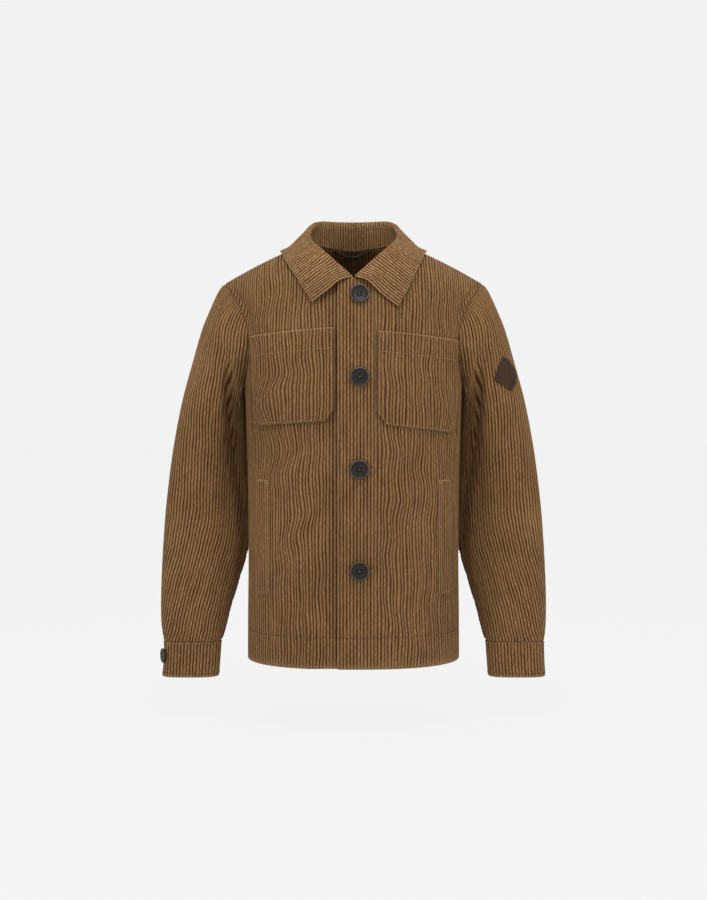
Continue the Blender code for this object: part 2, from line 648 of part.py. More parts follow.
def collar_rows(name, neck):
    """Rows of points for the stand and the leaf, over the neck seam points of one half."""
    sign = SIDES[name]
    length = np.concatenate([[0], np.cumsum(np.linalg.norm(np.diff(neck, axis=0), axis=1))])
    share = length / length[-1]
    row = {column: through(COLLAR["share"], COLLAR[column], share) for column in COLLAR}
    roll, edge = (
        np.stack([sign * row[part + "_x"], row[part + "_y"], row[part + "_z"]], axis=-1)
        for part in ("roll", "edge")
    )
    edge[:, 2] -= TIP_LOWER[name] * ease(0.6, 1, share)
    edge[:, 0] -= sign * TIP_IN[name] * ease(0.6, 1, share)
    if name == "right":
        roll[:, 1] += ROLL_SUNK * SUNK * ease(0.75, 1, share)
    run = np.gradient(roll, axis=0)
    out = unit(np.stack([-sign * run[:, 1], sign * run[:, 0], 0 * share], axis=-1))
    out[0], out[-1] = (0, 1, 0), unit(np.array([0.2 * sign, -1, 0]))
    lift = np.array([0, 0, 1.0])
    around = row["round"][:, None]
    top = neck + (roll - neck) * row["stand"][:, None]
    middle = (neck + top) / 2
    inner = roll - around * out - ROLL_DROP * around * lift
    outer = roll + around * out - ROLL_DROP * around * lift
    start = top - COLLAR_WALL * out + STAND_GAP * lift
    leaf = [start, inner, roll, outer]
    near_end = ease(0.86, 1, share)[:, None]
    for spread, crown, rise in zip(LEAF_SPREAD, LEAF_CROWN, FRONT_EDGE_RISE[name]):
        leaf.append(outer + (edge - outer) * spread + crown * out + rise * near_end * lift)
    leaf.append(edge)
    leaf[4:] = [held_off(points, LEAF_OFF) for points in leaf[4:]]
    return [neck + NECK_LIFT * lift, middle, top], leaf, [-out, unit(STAND_TILT * lift - out), lift + 0 * out]


def both_halves(left, right):
    """Rows that run from the right end, round the back, to the left end."""
    return [np.vstack([b[:0:-1], a]) for a, b in zip(left, right)]


def collar(fronts, back):
    """The stand's skin, and the leaf's closed wall. Round the roll the wall goes straight in from the skin."""
    halves = [collar_rows(name, neck_points(name, fronts[name], back)) for name in SIDES]
    stand, leaf, upper = (both_halves(a, b) for a, b in zip(*halves))
    width = len(leaf[0])
    stand_skin = np.vstack(stand), halved(grid_faces(len(stand), width, flip=True))
    points, faces = np.vstack(leaf), halved(grid_faces(len(leaf), width))
    outwards = vertex_normals(points, faces)
    outwards[: len(upper) * width] = np.vstack(upper)
    return stand_skin, shell(points, faces, COLLAR_WALL, outwards)


# ---- laid-on pieces -------------------------------------------------------------------------------------
def laid_piece(skin, places, sign, chamfer=False):
    """A piece of cloth laid over a block of a panel's grid. chamfer cuts the two corners of its first row."""
    points, faces, _ = skin
    normals = vertex_normals(points, faces)
    quads = []
    for i in range(places.shape[0] - 1):
        for j in range(places.shape[1] - 1):
            quads.append([places[i, j], places[i, j + 1], places[i + 1, j + 1], places[i + 1, j]])
    if chamfer:
        last = places.shape[1] - 2
        quads[0] = quads[0][1:]
        quads[last] = quads[last][:1] + quads[last][2:]
    used = sorted({k for quad in quads for k in quad})
    index = {k: i for i, k in enumerate(used)}
    quads = [tuple(index[k] for k in (quad if sign > 0 else quad[:1] + quad[:0:-1])) for quad in quads]
    out = normals[used]
    return shell(points[used] + (LAID + WALL) * out, halved(quads), WALL, out)


def pocket(name, skin):
    """From the pocket's start to its outer column, and from its bottom row to the mouth."""
    low = skin[2][0]
    bottom, mouth = POCKET_ROWS
    return laid_piece(skin, low[bottom : mouth + 1, 4:14], SIDES[name], chamfer=True)


def welt(name, skin):
    low = skin[2][0]
    bottom, top = WELT_ROWS
    return laid_piece(skin, low[bottom : top + 1, 11:13], SIDES[name])


def bar(middles, across, thick):
    """A flat strip along a row of points: half of across on each side, and thick measured from it."""
    corners = [middles - across / 2, middles + across / 2, middles + across / 2 + thick, middles - across / 2 + thick]
    points = np.stack(corners, axis=1).reshape(-1, 3)
    faces = grid_faces(len(middles), 4, wrap=True)
    end = len(points)
    return points, faces + [(3, 2, 1, 0), (end - 4, end - 3, end - 2, end - 1)]


def hanger_loop():
    """A narrow strip that sags between two points of the back neck seam, on its inner side."""
    along_loop = np.linspace(-1, 1, 11)
    x = LOOP_MIDDLE + LOOP_HALF * along_loop
    sag = 1 - along_loop**2
    y = reach(x, neckline(x, BACK), BACK) - COLLAR_WALL - LOOP_OFF - LOOP_FORWARD * sag
    z = neckline(LOOP_HALF, BACK) - LOOP_SAG * sag
    return bar(np.stack([x, y, z], axis=1), np.array([0, 0, LOOP_WIDTH]), np.array([0, -LOOP_THICK, 0]))


def sleeve_patch():
    """A rounded diamond laid on the left sleeve, on a grid between its corners."""
    steps = np.linspace(-1, 1, 7)
    a, b = np.meshgrid(steps, steps, indexing="ij")
    rounding = 1 - PATCH_ROUNDING * (np.abs(a * b)) ** 3
    a, b = a * rounding, b * rounding
    k = PATCH_MIDDLE[0] + PATCH_HALF_K * (a + b) / 2 + PATCH_LEAN * (b - a) / 2
    turn = PATCH_MIDDLE[1] + PATCH_HALF_TURN * (a - b) / 2
    points = sleeve_point(k, turn, SIDES["left"]).reshape(-1, 3)
    faces = halved(grid_faces(7, 7))
    out = vertex_normals(points, faces)
    if out[24] @ np.array([1, -1, 0]) < 0:
        faces = [tuple(reversed(face)) for face in faces]
        out = -out
    return shell(points + (LAID + PATCH_WALL) * out, faces, PATCH_WALL, out)


# ---- buttons --------------------------------------------------------------------------------------------
# The button's profile from the middle of its face to the middle of its back, in shares of its radius.
BUTTON = table(
    "out   up",
    (0.00, 0.150),
    (0.46, 0.150),
    (0.66, 0.215),
    (0.80, 0.270),
    (0.92, 0.250),
    (1.00, 0.150),
    (0.95, 0.040),
    (0.78, 0.000),
    (0.00, 0.000),
)
BUTTON_SEGMENTS = 18
BUTTON_HOLES = 4
HOLE_OUT, HOLE_RADIUS = 0.155, 0.075


def lathe(radius, segments):
    """The button's profile turned about +Z, with one point at each pole."""
    out, up = BUTTON["out"] * radius, BUTTON["up"] * radius
    angles = 2 * math.pi * np.arange(segments) / segments
    points = [(0, 0, up[0])]
    for r, z in zip(out[1:-1], up[1:-1]):
        points += [(r * math.cos(a), r * math.sin(a), z) for a in angles]
    points.append((0, 0, up[-1]))
    faces = grid_faces(len(out) - 2, segments, start=1, flip=True, wrap=True)
    last = len(points) - 1
    for j in range(segments):
        k = (j + 1) % segments
        faces.append((0, 1 + j, 1 + k))
        faces.append((last, last - segments + k, last - segments + j))
    return points, faces


def hole_pins(radius):
    """The skin of four short pins where the thread goes through."""
    points, faces = [], []
    for hole in range(BUTTON_HOLES):
        turn = math.pi / 4 + hole * math.pi / 2
        start = len(points)
        for z in (-radius, radius):
            for corner in range(6):
                a = corner * math.pi / 3
                x = HOLE_OUT * math.cos(turn) + HOLE_RADIUS * math.cos(a)
                y = HOLE_OUT * math.sin(turn) + HOLE_RADIUS * math.sin(a)
                points.append((x * radius, y * radius, z))
        faces += grid_faces(2, 6, start=start, wrap=True)
        faces += [tuple(start + 5 - j for j in range(6)), tuple(start + 6 + j for j in range(6))]
    return points, faces


def button_mesh(radius):
    """A button lying at the origin, its back down, with its four holes cut."""
    blank = piece("blank", *lathe(radius, BUTTON_SEGMENTS), button_finish())
    pins = piece("pins", *hole_pins(radius), button_finish())
    cut = blank.modifiers.new("holes", "BOOLEAN")
    cut.operation = "DIFFERENCE"
    cut.solver = "EXACT"
    cut.object = pins
    bpy.context.view_layer.update()
    mesh = bpy.data.meshes.new_from_object(blank.evaluated_get(bpy.context.evaluated_depsgraph_get()))
    bpy.data.objects.remove(blank)
    bpy.data.objects.remove(pins)
    return mesh


def place_button(name, mesh, at, facing, gap, twist=0.0):
    """A button with its back a gap off the cloth at a point, facing outwards, turned in its own plane."""
    thing = bpy.data.objects.new(name, mesh)
    bpy.context.scene.collection.objects.link(thing)
    facing = Vector(facing).normalized()
    thing.rotation_mode = "QUATERNION"
    thing.rotation_quaternion = facing.to_track_quat("Z", "Y") @ Quaternion((0, 0, 1), twist)
    thing.location = Vector(at) + float(gap) * facing


# ---- the jacket -----------------------------------------------------------------------------------------
def corduroy():
    return material("corduroy", (0.165, 0.092, 0.040), 0.95)


def button_finish():
    return material("button", (0.035, 0.029, 0.026), 0.45)


def patch_finish():
    return material("patch", (0.066, 0.039, 0.024), 0.6)


def loop_finish():
    return material("loop", (0.030, 0.020, 0.014), 0.8)


def main():
    fronts = {name: front_panel(name) for name in SIDES}
    back = back_panel()
    skins = {"back": back[:2]}
    for name in SIDES:
        skins["front_" + name] = fronts[name][:2]
        half_back = (back[0], back[1], back[2][name])
        skins["sleeve_" + name] = sleeve_skin(armhole(fronts[name], half_back), name)
        skins["cuff_" + name] = cuff_skin(name)
    skins["collar_stand"], leaf = collar(fronts, back)
    walls = {name: COLLAR_WALL if name == "collar_stand" else WALL for name in skins}
    for name, (points, faces) in (sewn(skins, walls) | {"collar_leaf": leaf}).items():
        piece(name, points, faces, corduroy())
    for name in SIDES:
        piece("chest_pocket_" + name, *pocket(name, fronts[name]), corduroy())
        piece("side_welt_" + name, *welt(name, fronts[name]), corduroy())
    piece("hanger_loop", *hanger_loop(), loop_finish())
    piece("sleeve_patch", *sleeve_patch(), patch_finish())

    mesh = button_mesh(BUTTON_RADIUS)
    for number, z in enumerate(BUTTON_HEIGHTS, 1):
        above, below = (body_point(BUTTON_X, z + step, FRONT) for step in (BUTTON_RADIUS, -BUTTON_RADIUS))
        at = body_point(BUTTON_X, z, FRONT)
        twist = math.pi / 4 if number == TURNED_BUTTON else 0
        place_button(f"button_{number}", mesh, at, np.cross((1, 0, 0), above - below), BUTTON_GAP, twist)
    mesh = button_mesh(CUFF_BUTTON_RADIUS)
    for name, sign in SIDES.items():
        turn = CUFF_BUTTON_TURN + CUFF_TURNED[name]
        at = cuff_point(turn, CUFF_BUTTON_DROP, name)
        ahead = cuff_point(turn + 2, CUFF_BUTTON_DROP, name) - cuff_point(turn - 2, CUFF_BUTTON_DROP, name)
        facing = unit(sign * np.cross((0, 0, 1), ahead))
        around = np.linspace(-1, 1, 2 * NEARBY_STEPS + 1)
        nearby = cuff_point(turn + NEARBY_TURN * around[:, None], CUFF_BUTTON_DROP + 0 * around, name)
        heights = ((nearby - at) @ facing)[np.linalg.norm(nearby - at, axis=-1) < CUFF_BUTTON_RADIUS]
        place_button("cuff_button_" + name, mesh, at, facing, CUFF_BUTTON_GAP + heights.max())


main()
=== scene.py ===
import math

import bpy
import numpy as np
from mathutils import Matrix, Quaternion, Vector


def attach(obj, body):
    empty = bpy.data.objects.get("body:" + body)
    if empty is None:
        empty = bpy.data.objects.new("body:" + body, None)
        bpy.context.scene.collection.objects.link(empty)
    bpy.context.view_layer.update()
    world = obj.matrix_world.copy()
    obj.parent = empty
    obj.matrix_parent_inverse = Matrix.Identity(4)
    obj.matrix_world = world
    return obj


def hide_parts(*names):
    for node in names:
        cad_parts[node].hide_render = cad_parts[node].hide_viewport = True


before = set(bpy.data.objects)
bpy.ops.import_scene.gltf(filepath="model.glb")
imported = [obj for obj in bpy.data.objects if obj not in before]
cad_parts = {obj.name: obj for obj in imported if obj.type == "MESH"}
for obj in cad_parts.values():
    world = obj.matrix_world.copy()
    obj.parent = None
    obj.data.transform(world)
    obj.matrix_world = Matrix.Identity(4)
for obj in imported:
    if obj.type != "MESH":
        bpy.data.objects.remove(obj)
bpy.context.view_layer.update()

# Metres, +Z up, +X towards the wearer's left, +Y towards the wearer's back. Left and right are the wearer's.
front, back = "front", "back"
sides = {"left": 1, "right": -1}
bpy.context.scene.view_settings.view_transform = "Standard"

cloth = {
    "wall": 0.0023,         # thickness, from the crest of a wale to the plain side
    "wale": 0.0053,         # from one wale to the next
    "groove": 0.00095,      # how deep the cloth dips between two wales
    "grooveWidth": 0.13,    # half width of that dip's bell, in wales
    "endGap": 0.08,         # least distance, in wales, between a column of points and the end of a row
    "innerGroove": 0.0003,
    "seam": 0.0004,         # gap between two pieces at a seam
    "pinch": 0.0013,        # how far a seam pulls both of them in
    "laid": 0.0006,         # gap under a piece laid on another
    "edgeBulge": 0.0006,    # how far a folded edge rounds out
}
waleSteps = np.array([0, 0.15, 0.5, 0.85])      # where the columns of points lie across each wale


# A table with named columns, each of them an array.
def table(names, *rows):
    return dict(zip(names.split(), np.array(rows, float).T))


# The same for lengths that are given in millimetres.
def millimetres(names, *rows):
    return {name: column / 1000 for name, column in table(names, *rows).items()}


# A cubic from start to end while t runs from 0 to 1, with the slope it has at each.
def cubic(start, startSlope, end, endSlope, t):
    first = start * (1 + 2 * t) * (1 - t) ** 2 + startSlope * t * (1 - t) ** 2
    return first + (end * (3 - 2 * t) * t**2 + endSlope * (t - 1) * t**2)


# A smooth curve through (knots, values): cubic pieces, each knot's slope from its neighbours.
def through(knots, values, where):
    knots, values = np.asarray(knots, float), np.asarray(values, float)
    where = np.clip(np.asarray(where, float), knots[0], knots[-1])
    slopes = np.gradient(values, knots, axis=0)
    at = np.clip(np.searchsorted(knots, where, side="right") - 1, 0, len(knots) - 2)
    step = knots[at + 1] - knots[at]
    t = (where - knots[at]) / step
    if values.ndim > 1:
        step, t = step[..., None], t[..., None]
    return cubic(values[at], slopes[at] * step, values[at + 1], slopes[at + 1] * step, t)


# All columns of a table at some places along its first one, by smooth curves.
def rowsAt(rows, where):
    knots = next(iter(rows.values()))
    return {name: through(knots, values, where) for name, values in rows.items()}


# 0 before start, 1 after end, and a soft S between them.
def ease(start, end, value):
    t = np.clip((np.asarray(value, float) - start) / (end - start), 0, 1)
    return t * t * (3 - 2 * t)


# 1 at 0, falling off to 0 on both sides.
def bell(value):
    return np.exp(-(value**2))


# Vectors made 1 long.
def unit(vectors):
    return vectors / np.maximum(np.linalg.norm(vectors, axis=-1, keepdims=True), 1e-9)


# Distance along a line of points from its first one.
def lengthAlong(points):
    return np.concatenate([[0], np.cumsum(np.linalg.norm(np.diff(points, axis=0), axis=1))])


# Rows of values at some places, in straight steps between the knots.
def sampled(where, knots, values):
    return np.stack([np.interp(where, knots, column) for column in values.T], axis=-1)


# Positions of the columns of points from low to high, in wales: those of each wale, and both ends.
def waleColumns(low, high):
    whole = np.arange(math.floor(low), math.ceil(high) + 1)
    inner = (whole[:, None] + waleSteps).ravel()
    inner = inner[(inner > low + cloth["endGap"]) & (inner < high - cloth["endGap"])]
    return np.concatenate([[low], inner, [high]])


# Depth of the cloth at a place across the wales: a narrow bell at each whole number.
def grooveAt(wale):
    return bell((wale - np.round(wale)) / cloth["grooveWidth"])


# The numbers of a grid's points, row by row.
def numbered(shape, start=0):
    return start + np.arange(shape[0] * shape[1]).reshape(shape[:2])


# The same with the first column again after the last, so that the grid closes into a tube.
def closed(index):
    return np.concatenate([index, index[:, :1]], axis=1)


# Two triangles for each cell of a grid.
def gridTriangles(index, flip=False):
    a, b, c, d = index[:-1, :-1], index[:-1, 1:], index[1:, 1:], index[1:, :-1]
    found = np.concatenate([np.stack([a, b, c], -1).reshape(-1, 3), np.stack([a, c, d], -1).reshape(-1, 3)])
    return found[:, ::-1] if flip else found


# Points that coincide made one, and triangles that closed up dropped.
def welded(points, triangles, *columns):
    _, first, index = np.unique(np.round(points, 6), axis=0, return_index=True, return_inverse=True)
    triangles = index.reshape(-1)[triangles]
    a, b, c = triangles.T
    triangles = triangles[(a != b) & (b != c) & (a != c)]
    return points[first], triangles, *(column[first] for column in columns)


# Unit normals: at each point, the sum of the areas of the triangles round it.
def normalsOf(points, triangles):
    a, b, c = (points[triangles[:, k]] for k in range(3))
    area = np.cross(b - a, c - a)
    found = np.stack([sum(np.bincount(triangles[:, k], area[:, axis], len(points)) for k in range(3))
                      for axis in range(3)], axis=1)
    return unit(found)


# Edges with a triangle on one side only, in that triangle's order.
def openEdges(triangles, count):
    ends = np.concatenate([triangles[:, [0, 1]], triangles[:, [1, 2]], triangles[:, [2, 0]]])
    forward = ends[:, 0].astype(np.int64) * count + ends[:, 1]
    backward = ends[:, 1].astype(np.int64) * count + ends[:, 0]
    return ends[~np.isin(forward, backward)]


# A skin is a surface of triangles with the place of each point across and along the wales, and its open
# edge: as pairs of ends, and as single points.
def makeSkin(points, triangles, wale, length, **more):
    skin = {"points": points, "triangles": triangles, "wale": wale, "length": length}
    skin["normals"] = normalsOf(points, triangles)
    skin["rim"] = openEdges(triangles, len(points))
    skin["edge"] = np.unique(skin["rim"])
    return skin | more


# Direction from each edge point into the piece: across the edge, along the surface.
def inwards(skin):
    a, b = skin["rim"].T
    run = unit(skin["points"][b] - skin["points"][a])
    found = np.zeros_like(skin["points"])
    for ends in (a, b):
        np.add.at(found, ends, np.cross(skin["normals"][ends], run))
    return unit(found)


seams = {
    "near": 0.0012,         # edges nearer than this are sewn together
    "sharp": 0.6,           # least cosine between two faces that run on evenly over their seam
    "valleyBack": 0.2,      # how far a piece stays back, in gaps between two pieces: in a sharp valley,
    "sewnBack": 0.1,        # at every seam,
    "alikeBack": 0.4,       # and where the faces run on evenly
}


# Where two pieces meet at a seam, the walls of both end along the direction between their normals.
# Where they meet in a sharp valley, each keeps its own wall and stays a little further back.
def joinSeams(skins):
    near = seams["near"]
    for skin in skins.values():
        skin["outwards"] = skin["normals"].copy()
        skin["inwards"] = inwards(skin)
        skin["sewnAt"], skin["alike"] = np.zeros((2, len(skin["points"])), bool)
        skin["moved"] = skin["points"].copy()
    for name, skin in skins.items():
        for other, mate in skins.items():
            if other == name:
                continue
            mine = skin["edge"]
            start, end = mate["points"][mate["rim"][:, 0]], mate["points"][mate["rim"][:, 1]]
            low, high = start.min(axis=0) - near, start.max(axis=0) + near
            mine = mine[((skin["points"][mine] > low) & (skin["points"][mine] < high)).all(axis=1)]
            if not len(mine):
                continue
            here = skin["points"][mine][:, None]
            run = end - start
            share = np.clip(((here - start) * run).sum(-1) / np.maximum((run * run).sum(-1), 1e-12), 0, 1)
            apart = np.linalg.norm(here - (start + share[..., None] * run), axis=-1)
            nearest = apart.argmin(axis=1)
            rows = np.arange(len(mine))
            close = apart[rows, nearest] < near
            mine, nearest, share = mine[close], nearest[close], share[rows, nearest][close]
            first, last = mate["rim"][nearest].T
            facing = mate["normals"][first] * (1 - share[:, None]) + mate["normals"][last] * share[:, None]
            alike = (facing * skin["normals"][mine]).sum(-1) > seams["sharp"]
            skin["outwards"][mine[alike]] += facing[alike]
            valley = mine[~alike]
            skin["moved"][valley] -= seams["valleyBack"] * cloth["seam"] * skin["normals"][valley]
            skin["sewnAt"][mine], skin["alike"][mine[alike]] = True, True
    for skin in skins.values():
        edge = skin["edge"]
        gaps = seams["sewnBack"] * skin["sewnAt"][edge] + seams["alikeBack"] * skin["alike"][edge]
        skin["outwards"] = unit(skin["outwards"])
        pinch = np.where(skin["alike"][edge], cloth["pinch"], 0)[:, None]
        back = cloth["seam"] * gaps[:, None]
        skin["moved"][edge] += back * skin["inwards"][edge] - pinch * skin["outwards"][edge]


def linked(name, data):
    made = bpy.data.objects.new(name, data)
    bpy.context.scene.collection.objects.link(made)
    return made


# Corners sharper than the angle stay sharp, and all others are shaded round.
def shaded(name, mesh, material, angle):
    mesh.materials.append(material)
    mesh.shade_smooth()
    mesh.set_sharp_from_angle(angle=math.radians(angle))
    return linked(name, mesh)


# A mesh of triangles with its map of the wales and the share by which each point is made paler: wear along
# the cloth's edges, a painted highlight round a button's rim.
def meshObject(name, points, triangles, wale, length, worn, material):
    mesh = bpy.data.meshes.new(name)
    mesh.vertices.add(len(points))
    mesh.vertices.foreach_set("co", points.astype(np.float32).ravel())
    mesh.loops.add(3 * len(triangles))
    mesh.loops.foreach_set("vertex_index", triangles.astype(np.int32).ravel())
    mesh.polygons.add(len(triangles))
    mesh.polygons.foreach_set("loop_start", np.arange(0, 3 * len(triangles), 3, dtype=np.int32))
    mesh.update(calc_edges=True)
    place = np.stack([wale[triangles], length[triangles]], axis=-1)
    mesh.uv_layers.new(name="wales").data.foreach_set("uv", place.astype(np.float32).ravel())
    mesh.attributes.new("worn", "FLOAT", "POINT").data.foreach_set("value", worn.astype(np.float32))
    return shaded(name, mesh, material, 75)


# A closed piece of cloth: the skin with its grooves cut in, the plain side a wall further in, and a rim
# between their edges, which rounds out where the edge is free.
def clothPiece(name, skin, material, **changed):
    use = cloth | changed
    points = skin.get("moved", skin["points"])
    outwards = skin.get("outwards", skin["normals"])
    dip = grooveAt(skin["wale"])[:, None]
    count = len(points)
    outer = points - use["groove"] * dip * outwards
    inner = points - (use["wall"] - use["innerGroove"] * dip) * outwards
    edge, rim = skin["edge"], skin["rim"]
    sewnAt = skin.get("sewnAt", np.zeros(count, bool))[edge]
    bulge = np.where(sewnAt, 0, cloth["edgeBulge"])[:, None]
    away = -skin.get("inwards", inwards(skin))[edge]
    middle = (outer[edge] + inner[edge]) / 2 + bulge * away
    place = np.full(count, -1)
    place[edge] = 2 * count + np.arange(len(edge))
    a, b = rim.T
    strips = []
    for low, high in ((lambda k: k, lambda k: place[k]), (lambda k: place[k], lambda k: k + count)):
        strips += [np.stack([low(b), low(a), high(a)], -1), np.stack([low(b), high(a), high(b)], -1)]
    triangles = np.concatenate([skin["triangles"], skin["triangles"][:, ::-1] + count, *strips])
    wale = np.concatenate([skin["wale"], skin["wale"], skin["wale"][edge]])
    length = np.concatenate([skin["length"], skin["length"], skin["length"][edge]])
    worn = np.where(sewnAt, 0.1, skin.get("worn", np.full(count, 0.5))[edge])
    rubbed = skin.get("rubbed", np.zeros(count)).copy()
    rubbed[edge] = np.maximum(rubbed[edge], worn)
    worn = np.concatenate([rubbed, np.zeros(count), worn])
    return meshObject(name, np.vstack([outer, inner, middle]), triangles, wale, length, worn, material)


# A colour given by its screen levels from 0 to 255, as amounts of light.
def srgb(*levels):
    return tuple(((v / 255 + 0.055) / 1.055) ** 2.4 if v > 10 else v / 255 / 12.92 for v in levels)


# A material and short ways to add nodes to it.
class Finish:
    def __init__(self, name):
        self.material = bpy.data.materials.new(name)
        self.material.use_nodes = True
        self.tree = self.material.node_tree
        self.shader = self.tree.nodes["Principled BSDF"]

    # Adds a node and fills its inputs, by name, or by number as i0, i1 and so on. Gives its first output.
    def node(self, kind, settings=None, **inputs):
        made = self.tree.nodes.new(kind)
        for key, value in (settings or {}).items():
            setattr(made, key, value)
        for key, value in inputs.items():
            byNumber = key[0] == "i" and key[1:].isdigit()
            self.put(made.inputs[int(key[1:]) if byNumber else key], value)
        return made.outputs[0]

    def put(self, socket, value):
        if isinstance(value, bpy.types.NodeSocket):
            self.tree.links.new(value, socket)
        else:
            socket.default_value = value

    def reckon(self, how, a, b):
        return self.node("ShaderNodeMath", {"operation": how}, i0=a, i1=b)

    def plus(self, a, b):
        return self.reckon("ADD", a, b)

    def times(self, a, b):
        return self.reckon("MULTIPLY", a, b)

    def between(self, value, low, high, least=0.0, most=1.0):
        ends = {"i1": low, "i2": high, "i3": least, "i4": most}
        return self.node("ShaderNodeMapRange", {"interpolation_type": "SMOOTHSTEP"}, i0=value, **ends)

    def place(self):
        return self.node("ShaderNodeTexCoord").node.outputs["Object"]

    # The share by which each point is made paler: wear on cloth, a painted highlight on a button's rim.
    def worn(self):
        return self.node("ShaderNodeAttribute", {"attribute_name": "worn"}).node.outputs["Fac"]

    def noise(self, where, scale, detail=3.0, rough=0.55):
        return self.node("ShaderNodeTexNoise", Vector=where, Scale=scale, Detail=detail, Roughness=rough)

    def mix(self, share, a, b, how="MIX"):
        made = self.tree.nodes.new("ShaderNodeMix")
        made.data_type, made.blend_type = "RGBA", how
        self.put(made.inputs[0], share)
        for socket, value in ((made.inputs[6], a), (made.inputs[7], b)):
            self.put(socket, (*value, 1) if isinstance(value, tuple) and len(value) == 3 else value)
        return made.outputs[2]

    # Fills the shader's sockets. The bump's distance is in metres.
    def coat(self, colour, roughness, height, distance, more=None):
        bump = self.node("ShaderNodeBump", Height=height, Distance=distance)
        values = {"Base Color": colour, "Roughness": roughness, "Normal": bump} | (more or {})
        for socket, value in values.items():
            self.put(self.shader.inputs[socket], value)
        return self.material


corduroyLook = {
    "crest": srgb(123, 91, 57),
    # the crests' paler nap: partly wear, partly a painted highlight
    "crestWorn": srgb(147, 115, 79),
    "edgeWorn": srgb(152, 122, 88),
    # the flank and groove colours are painted shade in the dips between the wales
    "flankPaintedShade": srgb(97, 68, 38),
    "groove": srgb(62, 39, 17),
    "napSize": 2.6,             # noise cells per wale, across
    "napStretch": 0.30,         # and along, as a share of that
    "napDepth": 0.00045,
    "unevenGroove": 0.40,       # how much the grooves' width changes along them
    "patchy": 7.0,              # cells per metre of the slow change in colour
    "ragged": 0.14,             # how much the nap frays the edges of the wales
    "shades": (0.90, 1.10),     # least and most brightness of the slow change
    "fineShade": 0.25,
    "edgeShare": 0.85,
}


# Wales by the piece's own map: x counts wales and y runs along them in the same unit. The colour goes from
# groove to flank to crest by the distance from the groove, broken up by a nap that is stretched lengthwise.
# The groove and flank colours are painted shade in the dips between the wales, the crests' paler nap is
# partly wear and partly a painted highlight, and a whole piece made lighter is painted light, one made darker
# painted shade.
def corduroyFinish(name, paintedLighting=0.0, **changed):
    look = corduroyLook | changed
    f = Finish(name)
    place = f.node("ShaderNodeUVMap", {"uv_map": "wales"})
    across = f.node("ShaderNodeSeparateXYZ", i0=place)
    along = across.node.outputs[1]
    offGroove = f.reckon("PINGPONG", across, 0.5)
    stretched = f.node("ShaderNodeCombineXYZ", i0=across, i1=f.times(along, look["napStretch"]))
    nap = f.noise(stretched, look["napSize"], 4.0, 0.6)
    fine = f.noise(place, 7.0, 2.0, 0.5)
    slow = f.noise(f.place(), look["patchy"], 3.0, 0.6)
    drawn = f.node("ShaderNodeCombineXYZ", i0=f.times(across, 0.7), i1=f.times(along, 0.10))
    uneven = f.noise(drawn, 1.0, 3.0, 0.6)
    ragged = f.plus(offGroove, f.times(f.plus(nap, -0.5), look["ragged"]))
    ragged = f.plus(ragged, f.times(f.plus(uneven, -0.5), look["unevenGroove"]))
    onFlank, onCrest = f.between(ragged, 0.03, 0.17), f.between(ragged, 0.15, 0.40)
    # Painted shade in the grooves and on the flanks of the wales.
    colour = f.mix(onFlank, look["groove"], look["flankPaintedShade"])
    colour = f.mix(onCrest, colour, look["crest"])
    # The crests' paler nap, partly wear and partly a painted highlight.
    colour = f.mix(f.times(f.between(nap, 0.42, 0.72), onCrest), colour, look["crestWorn"])
    colour = f.mix(f.times(f.worn(), look["edgeShare"]), colour, look["edgeWorn"])
    # The whole piece made lighter as painted light, or darker as painted shade.
    least, most = (shade + paintedLighting for shade in look["shades"])
    shade = f.plus(f.between(slow, 0.3, 0.7, least, most), f.times(f.plus(fine, -0.5), look["fineShade"]))
    grey = f.node("ShaderNodeCombineColor", i0=shade, i1=shade, i2=shade)
    height = f.plus(f.plus(f.times(onFlank, 0.6), f.times(nap, 0.8)), f.times(fine, 0.3))
    return f.coat(f.mix(1.0, colour, grey, "MULTIPLY"), 0.95, height, look["napDepth"], {
        "Specular IOR Level": 0.15,
        "Sheen Weight": 0.22,
        "Sheen Roughness": 0.45,
        "Sheen Tint": (*srgb(190, 160, 125), 1),
    })


# Marbled dark plastic, made paler by the mesh's own share at each point: a painted highlight round a button's
# rim.
def plasticFinish(name):
    f = Finish(name)
    place = f.place()
    marbled = f.between(f.noise(place, 130.0, 4.0, 0.6), 0.35, 0.68)
    # The pale colour on a button's rim is a painted highlight.
    colour = f.mix(f.worn(), f.mix(marbled, srgb(21, 18, 16), srgb(37, 32, 29)), srgb(98, 88, 77))
    return f.coat(colour, 0.45, f.noise(place, 900.0, 2.0), 0.00004, {"Specular IOR Level": 0.28})


# Cloudy brown, with a grain of small cells.
def leatherFinish(name):
    f = Finish(name)
    place = f.place()
    grain = f.node("ShaderNodeTexVoronoi", {"feature": "F1"}, Vector=place, Scale=900.0)
    cloudy = f.noise(place, 45.0, 4.0, 0.6)
    colour = f.mix(f.between(cloudy, 0.3, 0.7), srgb(53, 37, 26), srgb(67, 48, 34))
    return f.coat(colour, 0.66, f.plus(grain, f.times(cloudy, 0.6)), 0.00018, {"Specular IOR Level": 0.12})


# One colour, a quarter darker in the hollows of its twist.
def threadFinish(name, colour):
    f = Finish(name)
    twist = f.noise(f.place(), 1500.0, 2.0)
    return f.coat(f.mix(twist, colour, tuple(0.75 * v for v in colour)), 0.75, twist, 0.0001)


# Slanting bands of a twill.
def tapeFinish(name):
    f = Finish(name)
    slanted = {"bands_direction": "DIAGONAL"}
    twill = f.node("ShaderNodeTexWave", slanted, Vector=f.place(), Scale=900.0, Distortion=1.0)
    return f.coat(f.mix(twill, srgb(18, 13, 8), srgb(32, 23, 15)), 0.85, twill, 0.0001)


corduroy = corduroyFinish("corduroy")
